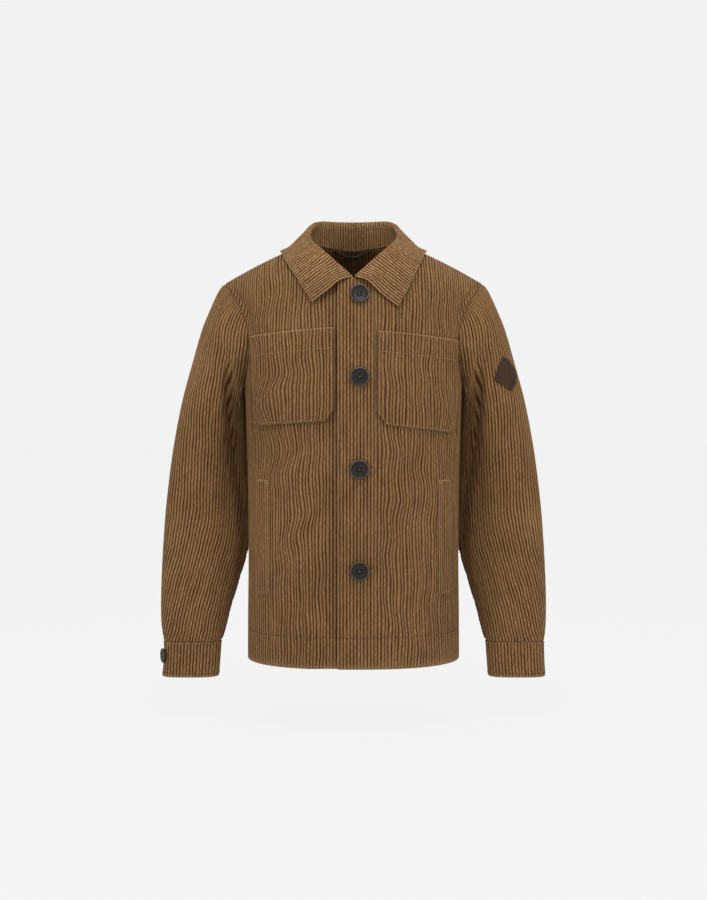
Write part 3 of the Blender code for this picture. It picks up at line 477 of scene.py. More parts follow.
# Lighter copies for the collar and the sleeves are painted light, with a stronger painted highlight on the
# collar's crests; the darker copy for the stand inside the neck is painted shade.
collarCorduroyPaintedLight = corduroyFinish("collar_corduroy_painted_light", paintedLighting=0.12, crestWorn=srgb(168, 136, 101))
sleeveCorduroyPaintedLight = corduroyFinish("sleeve_corduroy", paintedLighting=0.08)
standCorduroyPaintedShade = corduroyFinish("stand_corduroy_painted_shade", paintedLighting=-0.16)
buttonPlastic = plasticFinish("button_plastic")
patchLeather = leatherFinish("patch_leather")
brownThread = threadFinish("brown_thread", srgb(142, 111, 78))
darkThread = threadFinish("dark_thread", srgb(78, 50, 31))
collarThread = threadFinish("collar_thread", srgb(150, 120, 88))
patchThread = threadFinish("patch_thread", srgb(58, 42, 30))
buttonThread = threadFinish("button_thread", srgb(118, 104, 88))
loopTape = tapeFinish("loop_tape")
print("finishes made")

body = {
    "hem": -0.672,
    "neckHalf": 0.075,
    "neckDrop": {front: 0.0675, back: 0.006},
    "neckCurve": {front: 1.35, back: 2},
    "shoulderHalf": 0.208,
    "shoulderDrop": 0.0655,
    "shoulderCrown": 0.0030,
    "squareness": 2.4,              # exponent of the rounded section: 2 is an ellipse
    "shareLevel": -0.35,            # height at which the cloth is shared out over the section
    "chest": -0.150,                # level of the armhole's narrowest point
    "underarm": -0.237,
    "chestHalf": {front: 0.1668, back: 0.176},
    "armholeCurve": 1.6,            # exponent of the curve from the chest up to the shoulder
    "collarEnd": 0.004,
    "overlap": 0.024,
    "overlapTop": -0.0625,
    "overlapCorner": 0.006,
    "underlap": 0.022,
    "underlapTop": -0.068,
    "sunk": 0.0062,                 # how far the right front lies behind the left one
    "sunkFrom": 0.072,
    "sunkTo": 0.034,
    "fall": {front: (0.250, 0.60), back: (0.215, 0.35)},    # in the middle, and how much less per metre of x
    "creaseFade": (0.146, 0.163),   # between which places, out from the middle, the creases fade away
    "rowStep": 0.0075,
}
section = table(
    "z      half    front   back",
    (-0.672, 0.1725, 0.130, 0.116),
    (-0.600, 0.1720, 0.131, 0.115),
    (-0.500, 0.1708, 0.131, 0.112),
    (-0.400, 0.1712, 0.131, 0.110),
    (-0.310, 0.1735, 0.133, 0.117),
    (-0.237, 0.1762, 0.136, 0.126),
    (-0.150, 0.1840, 0.137, 0.132),
    (-0.110, 0.1960, 0.136, 0.132),
    (-0.065, 0.2180, 0.134, 0.130),
    (0.040, 0.2400, 0.130, 0.126),
)
shoulderSlope = body["shoulderDrop"] / (body["shoulderHalf"] - body["neckHalf"])
sectionAngles = np.linspace(0, math.pi / 2, 721)

# Drag folds: troughs, or ridges where the depth is below 0, along lines from (x0, z0) to (x1, z1).
largeFolds = millimetres(
    "x0 z0 x1 z1 width depth",
    (-92, -203, -160, -274, 16, 3.5),
    (-46, -289, -134, -374, 18, 3),
    (-26, -400, -130, -542, 18, 4),
    (60, -330, 120, -470, 20, 2.5),
)
frontCreases = millimetres(
    "x0 z0 x1 z1 width depth",
    (-29, -110, -29, -655, 4.5, 2.8),     # beside the edge of the upper front
    (-28.5, -80, -29, -180, 5.5, 1.8),
    (-52, -296, -131, -384, 6, 1.6),
    (-60, -284, -125, -352, 7, -1.2),
    (-34, -408, -128, -540, 6.5, 1.8),
    (-30, -386, -92, -472, 8, -1.3),
    (-98, -196, -156, -256, 6, 1.5),
    (-112, -222, -158, -300, 8, -1.2),
    (-140, -290, -158, -400, 8, 1.5),
    (-80, -520, -140, -600, 9, 1.4),
    (60, -300, 132, -395, 7, 1.4),
    (52, -420, 128, -560, 8, 1.4),
    (94, -205, 158, -262, 7, 1.3),
    (134, -290, 160, -430, 9, 1.4),
    (36, -520, 100, -610, 10, 1.2),
    (118, -440, 150, -610, 9, -1.2),
    (50, -150, 70, -270, 9, 0.8),
)
backCreases = millimetres(
    "x0 z0 x1 z1 width depth",
    (-150, -235, -60, -300, 11, 2.2),
    (152, -230, 70, -312, 12, 2.4),
    (-120, -120, -60, -235, 14, 1.8),
    (118, -115, 50, -215, 15, 1.6),
    (-70, -330, 30, -372, 12, 1.6),
    (120, -340, 20, -405, 13, 1.8),
    (-130, -380, -40, -450, 13, 1.6),
    (-90, -480, -70, -640, 15, 1.8),
    (85, -470, 100, -640, 16, 1.6),
)


valley = {front: 0.0040, back: 0.0025, "aside": 0.0075, "width": 0.0050}


# Half width or depth of the rounded section at height z.
def level(z, column):
    return through(section["z"], section[column], z)


# A quarter of an ellipse with squarer corners, by the angle from the middle.
def rounded(angle, half, depth):
    power = 2 / body["squareness"]
    return half * np.sin(angle) ** power, depth * np.maximum(np.cos(angle), 0) ** power


# Cloth in a quarter of each row of the section table.
def quarterLengths(side):
    x, y = rounded(sectionAngles[:, None], section["half"], section[side])
    return np.hypot(np.diff(x, axis=0), np.diff(y, axis=0)).sum(axis=0)


# Share of that cloth up to each angle, which is nearly the same at every height.
def sectionShare(side):
    middle = body["shareLevel"]
    x, y = rounded(sectionAngles, level(middle, "half"), level(middle, side))
    length = lengthAlong(np.stack([x, y], axis=-1))
    return length / length[-1]


quarterTable = {side: quarterLengths(side) for side in (front, back)}
shareTable = {side: sectionShare(side) for side in (front, back)}


# Cloth from the middle to the side seam at height z.
def quarter(z, side):
    return through(section["z"], quarterTable[side], z)


# x of the point s along the cloth from the middle, at height z, or at the chest where z is higher.
def across(s, z, side):
    z = np.minimum(z, body["chest"])
    angle = np.interp(np.abs(s) / quarter(z, side), shareTable[side], sectionAngles)
    return np.sign(s) * rounded(angle, level(z, "half"), 1)[0]


# The cloth distance of a place on the chest line.
def along(x, side):
    s = np.linspace(0, quarter(body["chest"], side), 1600)
    return np.interp(x, across(s, body["chest"], side), s)


# The shoulder line: a straight slope with a low arch between the neck and the armhole.
def ridge(x):
    share = np.clip((np.abs(x) - body["neckHalf"]) / (body["shoulderHalf"] - body["neckHalf"]), 0, 1)
    return shoulderSlope * (body["neckHalf"] - np.abs(x)) + body["shoulderCrown"] * np.sin(math.pi * share)


# How far below the shoulder line the section closes, at x.
def fall(x, side):
    middle, taper = body["fall"][side]
    return middle - taper * np.abs(x)


# The depth of the rounded section at height z, times a quarter ellipse that closes it over the shoulder.
def reach(x, z, side):
    out = 1 - np.clip(np.abs(x) / level(z, "half"), 0, 1) ** body["squareness"]
    below = np.clip((ridge(x) - z) / fall(x, side), 0, 1)
    return level(z, side) * out ** (1 / body["squareness"]) * np.sqrt(1 - (1 - below) ** 2)


# Depth of soft folds: each is a bell across its line, and fades to its two ends.
def folds(rows, x, z):
    depth = np.zeros(np.broadcast(x, z).shape)
    for x0, z0, x1, z1, width, most in zip(*rows.values()):
        run = np.array([x1 - x0, z1 - z0])
        forward = ((x - x0) * run[0] + (z - z0) * run[1]) / (run @ run)
        aside = ((x - x0) * run[1] - (z - z0) * run[0]) / math.sqrt(run @ run)
        depth = depth + most * np.sin(math.pi * np.clip(forward, 0, 1)) * bell(aside / width)
    return depth


# A point of a front or the back: the rounded section, with the large folds in front, and the right front
# set back where it lies under the left one.
def bodyPoint(x, z, side, sign=1):
    if side == back:
        return np.stack([x, reach(x, z, side), z + 0 * x], axis=-1)
    y = folds(largeFolds, x, z) - reach(x, z, side)
    if sign < 0:
        y = y + body["sunk"] * ease(-body["sunkFrom"], -body["sunkTo"], x)
    return np.stack([x, y, z + 0 * x], axis=-1)


# The small creases push the cloth in along its normal, and fade out before the armhole and the side seam.
def creased(points, normals, side):
    x, z = points[..., 0], points[..., 2]
    rows = frontCreases if side == front else backCreases
    depth = folds(rows, x, z) * (1 - ease(*body["creaseFade"], np.abs(x)))
    return points - (depth + seamValley(x, z, side))[..., None] * normals


# Beside the armhole, from the chest to the shoulder, the cloth dips between the seam and the chest.
def seamValley(x, z, side):
    up = np.clip((z - body["chest"]) / (-body["shoulderDrop"] - body["chest"]), 0, 1)
    inner = body["chestHalf"][side]
    seam = inner + (body["shoulderHalf"] - inner) * up ** body["armholeCurve"]
    most = valley[side] * np.sin(math.pi * up) ** 0.7 * (z > body["chest"])
    aside = (seam - np.abs(x) - valley["aside"]) / valley["width"]
    return most * bell(aside) * ease(0, 0.003, seam - np.abs(x))


# Height of the neck's edge at x: a power curve from its lowest point in the middle up to the shoulder.
def neckline(x, side):
    share = (np.abs(x) / body["neckHalf"]) ** body["neckCurve"][side]
    return -body["neckDrop"][side] * np.clip(1 - share, 0, 1)


panel = {
    "pocketDroop": 0.011,           # how far the chest line drops from the middle to the armhole
    "highWing": 1.25,               # cloth per metre of x, out beyond the armhole's narrowest point
    "hemStitch": 0.049,
    "wobble": 0.0024,               # how far the wales stray sideways
    "bandFree": (0.032, 0.052),     # between which distances from the middle they start to stray
    "seamFree": (0.034, 0.002),     # and before the armhole and the side they stop
    "lowStart": 0.20,
    "upperRows": 22,
    "uprightTurns": (7, 13, 19, 26),            # extra columns where the armhole runs almost upright
    "uprightShares": (0.04, 0.09, 0.15, 0.22),
    "stitchDip": 0.0007,            # depth of the cloth along the hem's stitches, and its half width
    "stitchDipWidth": 0.0018,
    "rubbed": 0.010,                # height of the paler cloth along the hem, and how pale it is
    "rubbedMost": 0.5,
    "straightEdge": 0.016,          # width beside a laid piece's edges in which its wales straighten
    "pocketDip": 0.0024,            # depth of the cloth beside a pocket, its distance and its half width
    "dipOff": 0.0022,
    "dipWidth": 0.0024,
    "dipReach": 0.012,
    "dipFade": (0.011, 0.004),      # how far under the pocket's bottom it fades out
}


pocket = {
    "width": 0.147,
    "start": {"left": 0.0365, "right": 0.030},
    "bottom": 0.7320,               # share of the way from the hem to the chest line
    # How far its mouth hangs below the chest line at its inner end, and how much more at its outer end.
    "lower": {"left": (0.0065, 0.0050), "right": (0.0015, 0.0038)},
    "sag": {"left": 0.0060, "right": 0.0},      # how much longer the pocket is at its outer end
    "chamfer": (0.0145, 0.0190),    # width and height of the cut corners, which are wider at the outer end
    "outerChamfer": 0.0215,
}
welt = {"edges": (0.141, 0.168), "rows": (0.216, 0.557)}


# The rows of the upper grid are even along a curve that starts as a circle at the shoulder and runs on
# straight down. arch gives the way along it for a drop, and archDrop the drop for a way.
def arch(below):
    return np.where(below < 1, np.arccos(np.clip(1 - below, -1, 1)), math.pi / 2 + below - 1)


def archDrop(angle):
    return np.where(angle < math.pi / 2, 1 - np.cos(angle), 1 + angle - math.pi / 2)


# Upper end of a front's columns: shoulder and neckline, and past the collar's end the lap's own top, which
# on the left has a rounded corner.
def frontTop(name):
    def top(x):
        if name == "left":
            corner = np.clip((-x - body["overlap"] / 2) / (body["overlap"] / 2), 0, 1)
            past = body["overlapTop"] - body["overlapCorner"] * (1 - np.sqrt(1 - corner**2))
        else:
            past = body["underlapTop"]
        seam = np.where(x < body["neckHalf"], neckline(x, front), ridge(x))
        return past + (seam - past) * ease(-0.001, body["collarEnd"], x)
    return top


def backTop(x):
    return np.where(x < body["neckHalf"], neckline(x, back), ridge(x))


# Rows of the lower grid, in shares of the way from the hem to the chest line: even, and closer at the
# hem's edge, at its stitch line and under the pockets.
def lowRows():
    height = body["chest"] - body["hem"]
    even = np.linspace(0, 1, round(height / body["rowStep"]) + 1)
    stitch = panel["hemStitch"] + np.array([-0.003, -0.0012, 0, 0.0012, 0.003])
    under = pocket["bottom"] * height + np.array([-0.007, -0.0045, -0.0025, -0.001, 0.001])
    clear = (np.abs(even * height - panel["hemStitch"]) > 0.0045) & (even * height > 0.004)
    clear &= np.abs(even * height - pocket["bottom"] * height + 0.003) > 0.006
    even = even[clear | (even == 0)]
    return np.sort(np.concatenate([even, stitch / height, under / height, [0.0015 / height]]))


# Height of each row over the columns' upper ends. Near the hem the rows are level.
def rowHeights(shares, ends):
    height = body["chest"] - body["hem"]
    share = shares[:, None]
    return body["hem"] + share * height + (ends - body["chest"]) * ease(panel["lowStart"], 1, share)


# Places where folds drag the wales sideways: how far, and the bell's half width and height. A positive
# shift is outwards, to the side seam.
wanders = {
    "right": millimetres(
        "s z width height shift",
        (158, -262, 40, 28, 16),
        (150, -332, 36, 30, -8.5),
        (104, -212, 30, 14, -4.6),
        (128, -238, 28, 13, 4),
        (92, -330, 30, 18, -4.4),
        (112, -372, 30, 18, 4),
        (70, -430, 26, 17, -3.6),
        (94, -468, 26, 18, 3.6),
        (122, -515, 26, 20, -3.4),
        (60, -545, 24, 22, 2.6),
        (120, -85, 30, 22, -2.6),
        (160, -130, 26, 16, 3),
    ),
    "left": millimetres(
        "s z width height shift",
        (162, -268, 34, 26, 9),
        (150, -330, 28, 22, -3.6),
        (80, -230, 26, 18, 2.6),
        (120, -200, 26, 14, -3),
        (66, -330, 24, 18, 3),
        (98, -362, 28, 18, -3.6),
        (74, -408, 26, 16, 3.4),
        (110, -448, 28, 20, -3.2),
        (66, -492, 24, 18, -2.8),
        (98, -540, 26, 22, 3.2),
        (134, -580, 26, 24, -2.4),
        (110, -95, 30, 22, 2.6),
        (150, -120, 26, 18, -2.6),
    ),
    back: millimetres(
        "s z width height shift",
        (60, -120, 34, 24, 3),
        (130, -180, 34, 24, -3.6),
        (90, -290, 34, 22, 4),
        (50, -370, 32, 22, -3.2),
        (120, -410, 32, 24, -3.4),
        (80, -520, 30, 28, 3),
        (150, -560, 28, 30, -2.6),
    ),
}


# Waves by which the wales stray: the share of each, its length along the wales, how its start changes with
# the piece's own number, and how fast it changes across them.
panelWaves = table(
    "share length start across",
    (1.0, 0.0470, 2.1, 14),
    (0.7, 0.0195, 5.3, 38),
    (0.6, 0.0105, 3.1, 95),
    (0.5, 0.1300, 0.0, 420),
)
sleeveWaves = table(
    "share length start across",
    (1.0, 0.0410, 0, 22),
    (0.7, 0.0175, 0, 61),
    (0.5, 0.0090, 0, 130),
)


# The sum of some waves over the cloth distance s and the height z.
def ripple(waves, s, z, seed=0):
    total = 0
    for share, length, start, turn in zip(*waves.values()):
        total = total + share * np.sin(z / length + start * seed + turn * s)
    return total


# The wales stray sideways in long waves and where folds drag them, but not at the edges, the seams or
# the stitched front band.
def strayed(s, z, edge, seed, rows):
    far = np.abs(s)
    shift = panel["wobble"] / 2 * ripple(panelWaves, s, z, seed) * ease(0, 0.03, z - body["hem"])
    for s0, z0, width, height, most in zip(*rows.values()):
        shift = shift + most * bell((far - s0) / width) * bell((z - z0) / height)
    start, end = panel["seamFree"]
    held = ease(*panel["bandFree"], far) * (1 - ease(edge - start, edge - end, far))
    return s + shift * held


# Which of those places a half of the body has.
def wandersOf(side, sign):
    return wanders[back] if side == back else wanders["left" if sign > 0 else "right"]


# Half a panel. In the lower grid the columns run up from the hem to the chest line, and those of the wing
# to the armhole's lower part, a quarter ellipse. In the upper grid they run on to the neck or the
# shoulder, and those of the wing from the armhole's upper part to the shoulder.
def halfPanel(side, sign, start, top, seed):
    edge = float(along(body["chestHalf"][side], side))
    under = float(quarter(body["underarm"], side))
    columns = waleColumns(start / cloth["wale"], edge / cloth["wale"]) * cloth["wale"]
    wing = waleColumns(edge / cloth["wale"], under / cloth["wale"])[1:] * cloth["wale"]
    wing = np.union1d(wing, edge + (under - edge) * (1 - np.cos(np.radians(panel["uprightTurns"]))))
    chest = body["chest"] + panel["pocketDroop"] * (1 - columns / edge)
    turn = np.arccos(np.clip(1 - (wing - edge) / (under - edge), -1, 1))
    lowEnd = body["underarm"] + (body["chest"] - body["underarm"]) * (1 - np.sin(turn))

    z = rowHeights(lowRows(), np.concatenate([chest, lowEnd]))
    z[-1] = np.concatenate([chest, lowEnd])
    s = np.concatenate([columns, wing]) + 0 * z
    stretched = edge + (s - edge) * (quarter(z, side) - edge) / (under - edge)
    inWing = s > edge + 1e-9
    moved = strayed(s, z, edge, seed, wandersOf(side, sign))
    lowX = across(np.where(inWing, stretched, moved), z, side)
    lowWale = s / cloth["wale"]

    outer = body["shoulderHalf"]
    inner = body["chestHalf"][side]
    far = edge + panel["highWing"] * (outer - inner)
    highWing = waleColumns(edge / cloth["wale"], far / cloth["wale"])[1:]
    upright = (outer - inner) * np.array(panel["uprightShares"]) ** body["armholeCurve"]
    highWing = np.union1d(highWing, (edge + panel["highWing"] * upright) / cloth["wale"])
    wingX = inner + (highWing * cloth["wale"] - edge) / panel["highWing"]
    up = np.clip((wingX - inner) / (outer - inner), 0, 1) ** (1 / body["armholeCurve"])
    begin = np.concatenate([chest, body["chest"] + (-body["shoulderDrop"] - body["chest"]) * up])
    bottomX = across(columns, body["chest"] + 0 * columns, side)
    end = np.concatenate([top(bottomX), ridge(wingX)])
    x = np.concatenate([bottomX, wingX])
    first, last = (arch((ridge(x) - height) / fall(x, side)) for height in (begin, end))
    rows = np.linspace(0, 1, panel["upperRows"])[:, None]
    highZ = ridge(x) - archDrop(first + (last - first) * rows) * fall(x, side)
    highZ[0], highZ[-1] = begin, end
    highS = np.concatenate([columns, edge + 0 * highWing]) + 0 * highZ
    fadeUp = 1 - ease(0.5, 0.95, rows)
    straying = strayed(highS, highZ, edge, seed, wandersOf(side, sign)) - highS
    highX = np.where(highS < edge, across(highS + straying * fadeUp, body["chest"], side), x)
    highX[-1] = x
    highWale = np.concatenate([columns / cloth["wale"], highWing]) + 0 * highZ

    points, triangles, wale = [], [], []
    for x, z, count in ((lowX, z, lowWale), (highX, highZ, highWale)):
        index = numbered(x.shape, sum(map(len, points)))
        triangles.append(gridTriangles(index, (sign < 0) != (side == back)))
        points.append(bodyPoint(sign * x, z, side, sign).reshape(-1, 3))
        wale.append(sign * count.ravel())
    return welded(np.vstack(points), np.concatenate(triangles), np.concatenate(wale))


# The line at which the lower grid meets the upper one, at a cloth distance.
def chestLine(s):
    edge = float(along(body["chestHalf"][front], front))
    return body["chest"] + panel["pocketDroop"] * (1 - s / edge)


# A pocket's mouth and bottom hang a little below the chest line, and more so at their outer ends.
def pocketMouth(name, s):
    drop, more = pocket["lower"][name]
    return chestLine(s) - drop - more * (s - pocket["start"][name]) / pocket["width"]


def pocketBottom(name, s):
    sag = pocket["sag"][name] * (s - pocket["start"][name]) / pocket["width"]
    return pocketMouth(name, s) - (chestLine(s) - body["hem"]) * (1 - pocket["bottom"]) - sag


# The stitched hem line and a pocket's stitched sides and bottom pull the cloth in a little.
def pulledIn(points, normals, name):
    x, z = points[:, 0], points[:, 2]
    depth = panel["stitchDip"] * bell((z - body["hem"] - panel["hemStitch"]) / panel["stitchDipWidth"])
    if name in sides:
        s = along(np.abs(x), front)
        start = pocket["start"][name]
        bottom, mouth = pocketBottom(name, s), np.minimum(pocketMouth(name, s), body["chest"])
        away = panel["dipReach"]
        beside = (s > start - away) & (s < start + pocket["width"]) & (z < mouth) & (x * sides[name] > 0)
        outside = np.maximum(np.maximum(start - s, bottom - z), 0)
        near = bell((outside - panel["dipOff"]) / panel["dipWidth"]) * (z > bottom - away)
        least, most = panel["dipFade"]
        depth = depth + panel["pocketDip"] * near * beside * ease(bottom - least, bottom - most, z)
    return points - depth[:, None] * normals


# The last shaping of a panel: creases, the dips along its stitches, and the paler hem.
def finishPanel(points, triangles, wale, side, name=None):
    normals = normalsOf(points, triangles)
    points = creased(points, normals, side)
    points = pulledIn(points, normals, name)
    rubbed = panel["rubbedMost"] * (1 - ease(0, panel["rubbed"], points[:, 2] - body["hem"]))
    return makeSkin(points, triangles, wale, points[:, 2] / cloth["wale"], rubbed=rubbed)


def frontSkin(name):
    start = {"left": -body["overlap"], "right": -body["underlap"]}[name]
    seed = {"left": 1, "right": 2}[name]
    points, triangles, wale = halfPanel(front, sides[name], start, frontTop(name), seed)
    return finishPanel(points, triangles, wale, front, name)


# Both halves of the back, joined at the middle.
def backSkin():
    points, triangles, wale = zip(*(halfPanel(back, sign, 0.0, backTop, 3 + sign) for sign in sides.values()))
    triangles = np.concatenate([triangles[0], triangles[1] + len(points[0])])
    points, triangles, wale = welded(np.vstack(points), triangles, np.concatenate(wale))
    return finishPanel(points, triangles, wale, back)


# Sections down the sleeve: outer and inner ends, depths to the front and the back, how far the inner end
# is set back beside the body, and the long fold in front: the angle where it starts and its depth.
sleeveSections = table(
    "k   outerX  outerZ   innerX  innerZ   front  back   set    fold   deep  square",
    (1, 0.2290, -0.1000, 0.1776, -0.2590, 0.074, 0.070, 0.012, 95, 0.00, 2.00),
    (2, 0.2460, -0.1400, 0.1756, -0.2850, 0.072, 0.070, 0.026, 98, 0.16, 2.00),
    (3, 0.2620, -0.1950, 0.1738, -0.3180, 0.068, 0.070, 0.035, 104, 0.34, 2.00),
    (4, 0.2800, -0.2620, 0.1728, -0.3500, 0.060, 0.070, 0.041, 112, 0.50, 2.00),
    (5, 0.2940, -0.3350, 0.1710, -0.3920, 0.050, 0.064, 0.044, 120, 0.58, 2.00),
    (6, 0.3035, -0.4050, 0.1685, -0.4400, 0.042, 0.056, 0.046, 128, 0.62, 2.00),
    (7, 0.3100, -0.4750, 0.1730, -0.4920, 0.037, 0.048, 0.036, 138, 0.54, 2.05),
    (8, 0.3140, -0.5450, 0.1890, -0.5480, 0.034, 0.042, 0.022, 150, 0.34, 2.10),
    (9, 0.3152, -0.5950, 0.2030, -0.5950, 0.031, 0.036, 0.012, 160, 0.10, 2.25),
    (10, 0.3140, -0.6300, 0.2120, -0.6300, 0.028, 0.031, 0.005, 170, 0.00, 2.60),
    (11, 0.3122, -0.6440, 0.2162, -0.6440, 0.024, 0.026, 0.000, 175, 0.00, 3.00),
)
sleeve = {
    "foldTurn": 16,                 # degrees in which the sleeve's long fold drops
    "seamTurn": 190,                # degrees from the outer edge, past the front, where the seam runs down
    "headRise": 0.9,                # how directly the head leaves the armhole
    "headPuff": 0.012,              # how far it also swells out and up at the shoulder
    "ringPower": 0.8,               # how the points are spread over the armhole's upper part
    "parallelFrom": -0.33,          # below this the wales turn, to be parallel to the inner edge
    "parallelTo": -0.45,
    "parallelShare": 0.74,
    "capFrom": -0.17,               # above this the wales turn, to run steeper over the cap
    "capTurn": 0.20,
    "capBlend": 0.04,
    "sway": 0.0007,                 # how far the wales stray sideways
    "innerTurn": 178,               # degrees at which the inner edge is seen from the front
    "settle": (-0.615, -0.644),     # heights between which it takes on the cuff's form
    "top": -0.050,
    "end": -0.6475,
    "rows": 96,
    "extraRows": (0.006, 0.9915, 0.9955),
}
# Degrees round a section at the armhole ring's points: outer, front, inner, back, five steps to a quarter.
ringTurns = np.array([0, 18, 36, 54, 72, 90, 104, 118, 134, 156, 180, 203, 223, 240, 256, 270, 288, 306, 324,
                      342, 360])
sleeveCreases = {
    front: millimetres(
        "x0 z0 x1 z1 width depth",
        (207, -95, 194, -350, 11, 6),
        (197, -200, 202, -500, 12, 4),
        (236, -100, 262, -250, 10, 2.2),
        (252, -240, 268, -400, 12, 2),
        (248, -420, 262, -590, 11, 2.2),
        (284, -300, 292, -480, 10, 1.6),
        (196, -225, 252, -300, 7.5, 1.8),
        (205, -270, 270, -345, 9, 1.6),
        (222, -330, 285, -400, 8, 1.5),
        (232, -400, 296, -455, 8, 1.4),
        (226, -470, 290, -520, 8, 1.4),
        (232, -560, 288, -606, 7, 1.4),
        (240, -610, 270, -640, 5, 1.2),
    ),
    back: millimetres(
        "x0 z0 x1 z1 width depth",
        (196, -250, 262, -330, 11, 2.2),
        (200, -340, 286, -362, 10, 2.4),
        (196, -385, 290, -420, 11, 2.2),
        (200, -440, 292, -452, 11, 1.8),
        (214, -520, 290, -560, 12, 1.6),
    ),
}
cuffSections = table(
    "drop outerX innerX front  back",
    (0.0, 0.3122, 0.2162, 0.0240, 0.0260),
    (0.5, 0.3130, 0.2182, 0.0245, 0.0262),
    (1.0, 0.3143, 0.2205, 0.0250, 0.0265),
)
cuff = {
    "top": -0.6475,
    "bottom": -0.7045,
    "under": 40,                    # degrees in front of the outer edge where the under end lies
    "around": 375,                  # degrees from its under end to its upper end
    "rise": (58, 95),               # degrees in which it comes out from under its own other end
    "turned": {"left": -60, "right": 0},
    "dent": 0.0028,                 # how far the tight button pulls the cuff in
    "dentTurn": 34,
    "dentDrop": 0.60,
    "buttonTurn": 16,
    "buttonDrop": 0.42,
    "firstWale": 0.3,               # where the strip's end cuts through a wale
    "drops": (0, 0.03, 0.08, 0.16, 0.26, 0.36, 0.46, 0.56, 0.66, 0.76, 0.86, 0.915, 0.94, 0.965, 1),
    "rubbed": 0.45,                 # how pale the lower edge is
}


# A place on an ellipse with squarer corners where the exponent is above 2.
def squared(turn, square):
    c, s = np.cos(turn), np.sin(turn)
    return np.sign(c) * np.abs(c) ** (2 / square), np.sign(s) * np.abs(s) ** (2 / square)


# A point of the sleeve: a slanting section k of the table, and the angle round it in degrees.
def sleevePoint(k, turn, sign, deep=1.0):
    k, turn = np.broadcast_arrays(np.asarray(k, float), np.asarray(turn, float))
    row = rowsAt(sleeveSections, k)
    c, s = squared(np.radians(turn), row["square"])
    x = (row["outerX"] + row["innerX"]) / 2 + c * (row["outerX"] - row["innerX"]) / 2
    z = (row["outerZ"] + row["innerZ"]) / 2 + c * (row["outerZ"] - row["innerZ"]) / 2
    folded = 1 - deep * row["deep"] * ease(row["fold"], row["fold"] + sleeve["foldTurn"], turn)
    y = row["set"] * (1 - c) / 2 + np.where(s > 0, -s * row["front"] * folded, -s * row["back"])
    return np.stack([sign * x, y, z], axis=-1)


# A point of the cuff: the angle in degrees and the share of its height, with a dent at the button.
def cuffPoint(turn, drop, name, lift=0.0):
    aside = ((turn - cuff["buttonTurn"] - cuff["turned"][name] + 180) % 360 - 180) / cuff["dentTurn"]
    lift = lift - cuff["dent"] * bell(aside) * bell((drop - cuff["buttonDrop"]) / cuff["dentDrop"])
    row = rowsAt(cuffSections, drop)
    c, s = squared(np.radians(turn), sleeveSections["square"][-1])
    half = (row["outerX"] - row["innerX"]) / 2 + lift
    depth = np.where(s > 0, row["front"], row["back"]) + lift
    x = (row["outerX"] + row["innerX"]) / 2 + c * half
    z = cuff["top"] + (cuff["bottom"] - cuff["top"]) * drop + 0 * x
    return np.stack([sides[name] * x, -s * depth, z], axis=-1)


# The armhole, by degrees round the sleeve: down the front's upper and lower curve, and up the back's.
def armholePoint(turn, name):
    place = np.interp(turn % 360, ringTurns, np.arange(21) / 5)
    sign = sides[name]
    found = np.zeros((*np.shape(turn), 3))
    for part, side in ((0, front), (1, front), (2, back), (3, back)):
        q = np.clip(place - part, 0, 1)
        inner = body["chestHalf"][side]
        if part in (0, 3):
            up = (1 - q if part == 0 else q) ** sleeve["ringPower"]
            x = inner + (body["shoulderHalf"] - inner) * up ** body["armholeCurve"]
            z = body["chest"] + (-body["shoulderDrop"] - body["chest"]) * up
        else:
            angle = (q if part == 1 else 1 - q) * math.pi / 2
            start, end = along(inner, side), quarter(body["underarm"], side)
            z = body["underarm"] + (body["chest"] - body["underarm"]) * (1 - np.sin(angle))
            x = across(start + (quarter(z, side) - start) * (1 - np.cos(angle)), z, side)
        here = (place >= part) & (place <= part + 1)
        found = np.where(here[..., None], bodyPoint(sign * x, z, side, sign), found)
    return found


# The sleeve's form on a dense grid of sections and degrees. Between the armhole and the first section it
# is a cubic that leaves the armhole towards that section and joins the sleeve smoothly.
def sleeveForm(name, turns, deep=1.0):
    sign = sides[name]
    ring = armholePoint(turns, name)
    first = sleevePoint(1, turns, sign, deep)
    slope = (sleevePoint(1.02, turns, sign, deep) - first) / 0.02
    leave = (first - ring) * sleeve["headRise"]
    puff = sleeve["headPuff"] * np.array([sign, 0, 1])
    leave = leave + (np.cos(np.radians(turns)).clip(0) ** 3)[:, None] * puff
    head = cubic(ring, leave, first, slope, np.linspace(0, 1, 24)[:-1, None, None])
    above = ring + np.linspace(-0.9, -0.05, 8)[:, None, None] * leave
    lower = sleevePoint(np.linspace(1, 11, 160)[:, None], turns, sign, deep)
    end = cuffPoint(turns, 0.0, name)
    settle = ease(*sleeve["settle"], lower[..., 2])[..., None]
    lower[..., :2] += (end - sleevePoint(11, turns, sign))[..., :2] * settle
    return np.concatenate([above, head, lower, end[None]])


# x and y of each column of a dense form at even levels.
def atLevels(dense, levels):
    found = np.empty((len(levels), dense.shape[1], 2))
    for column in range(dense.shape[1]):
        z = dense[:, column, 2]
        order = np.argsort(z, kind="stable")
        for axis in (0, 1):
            found[:, column, axis] = np.interp(levels, z[order], dense[order, column, axis])
    return found


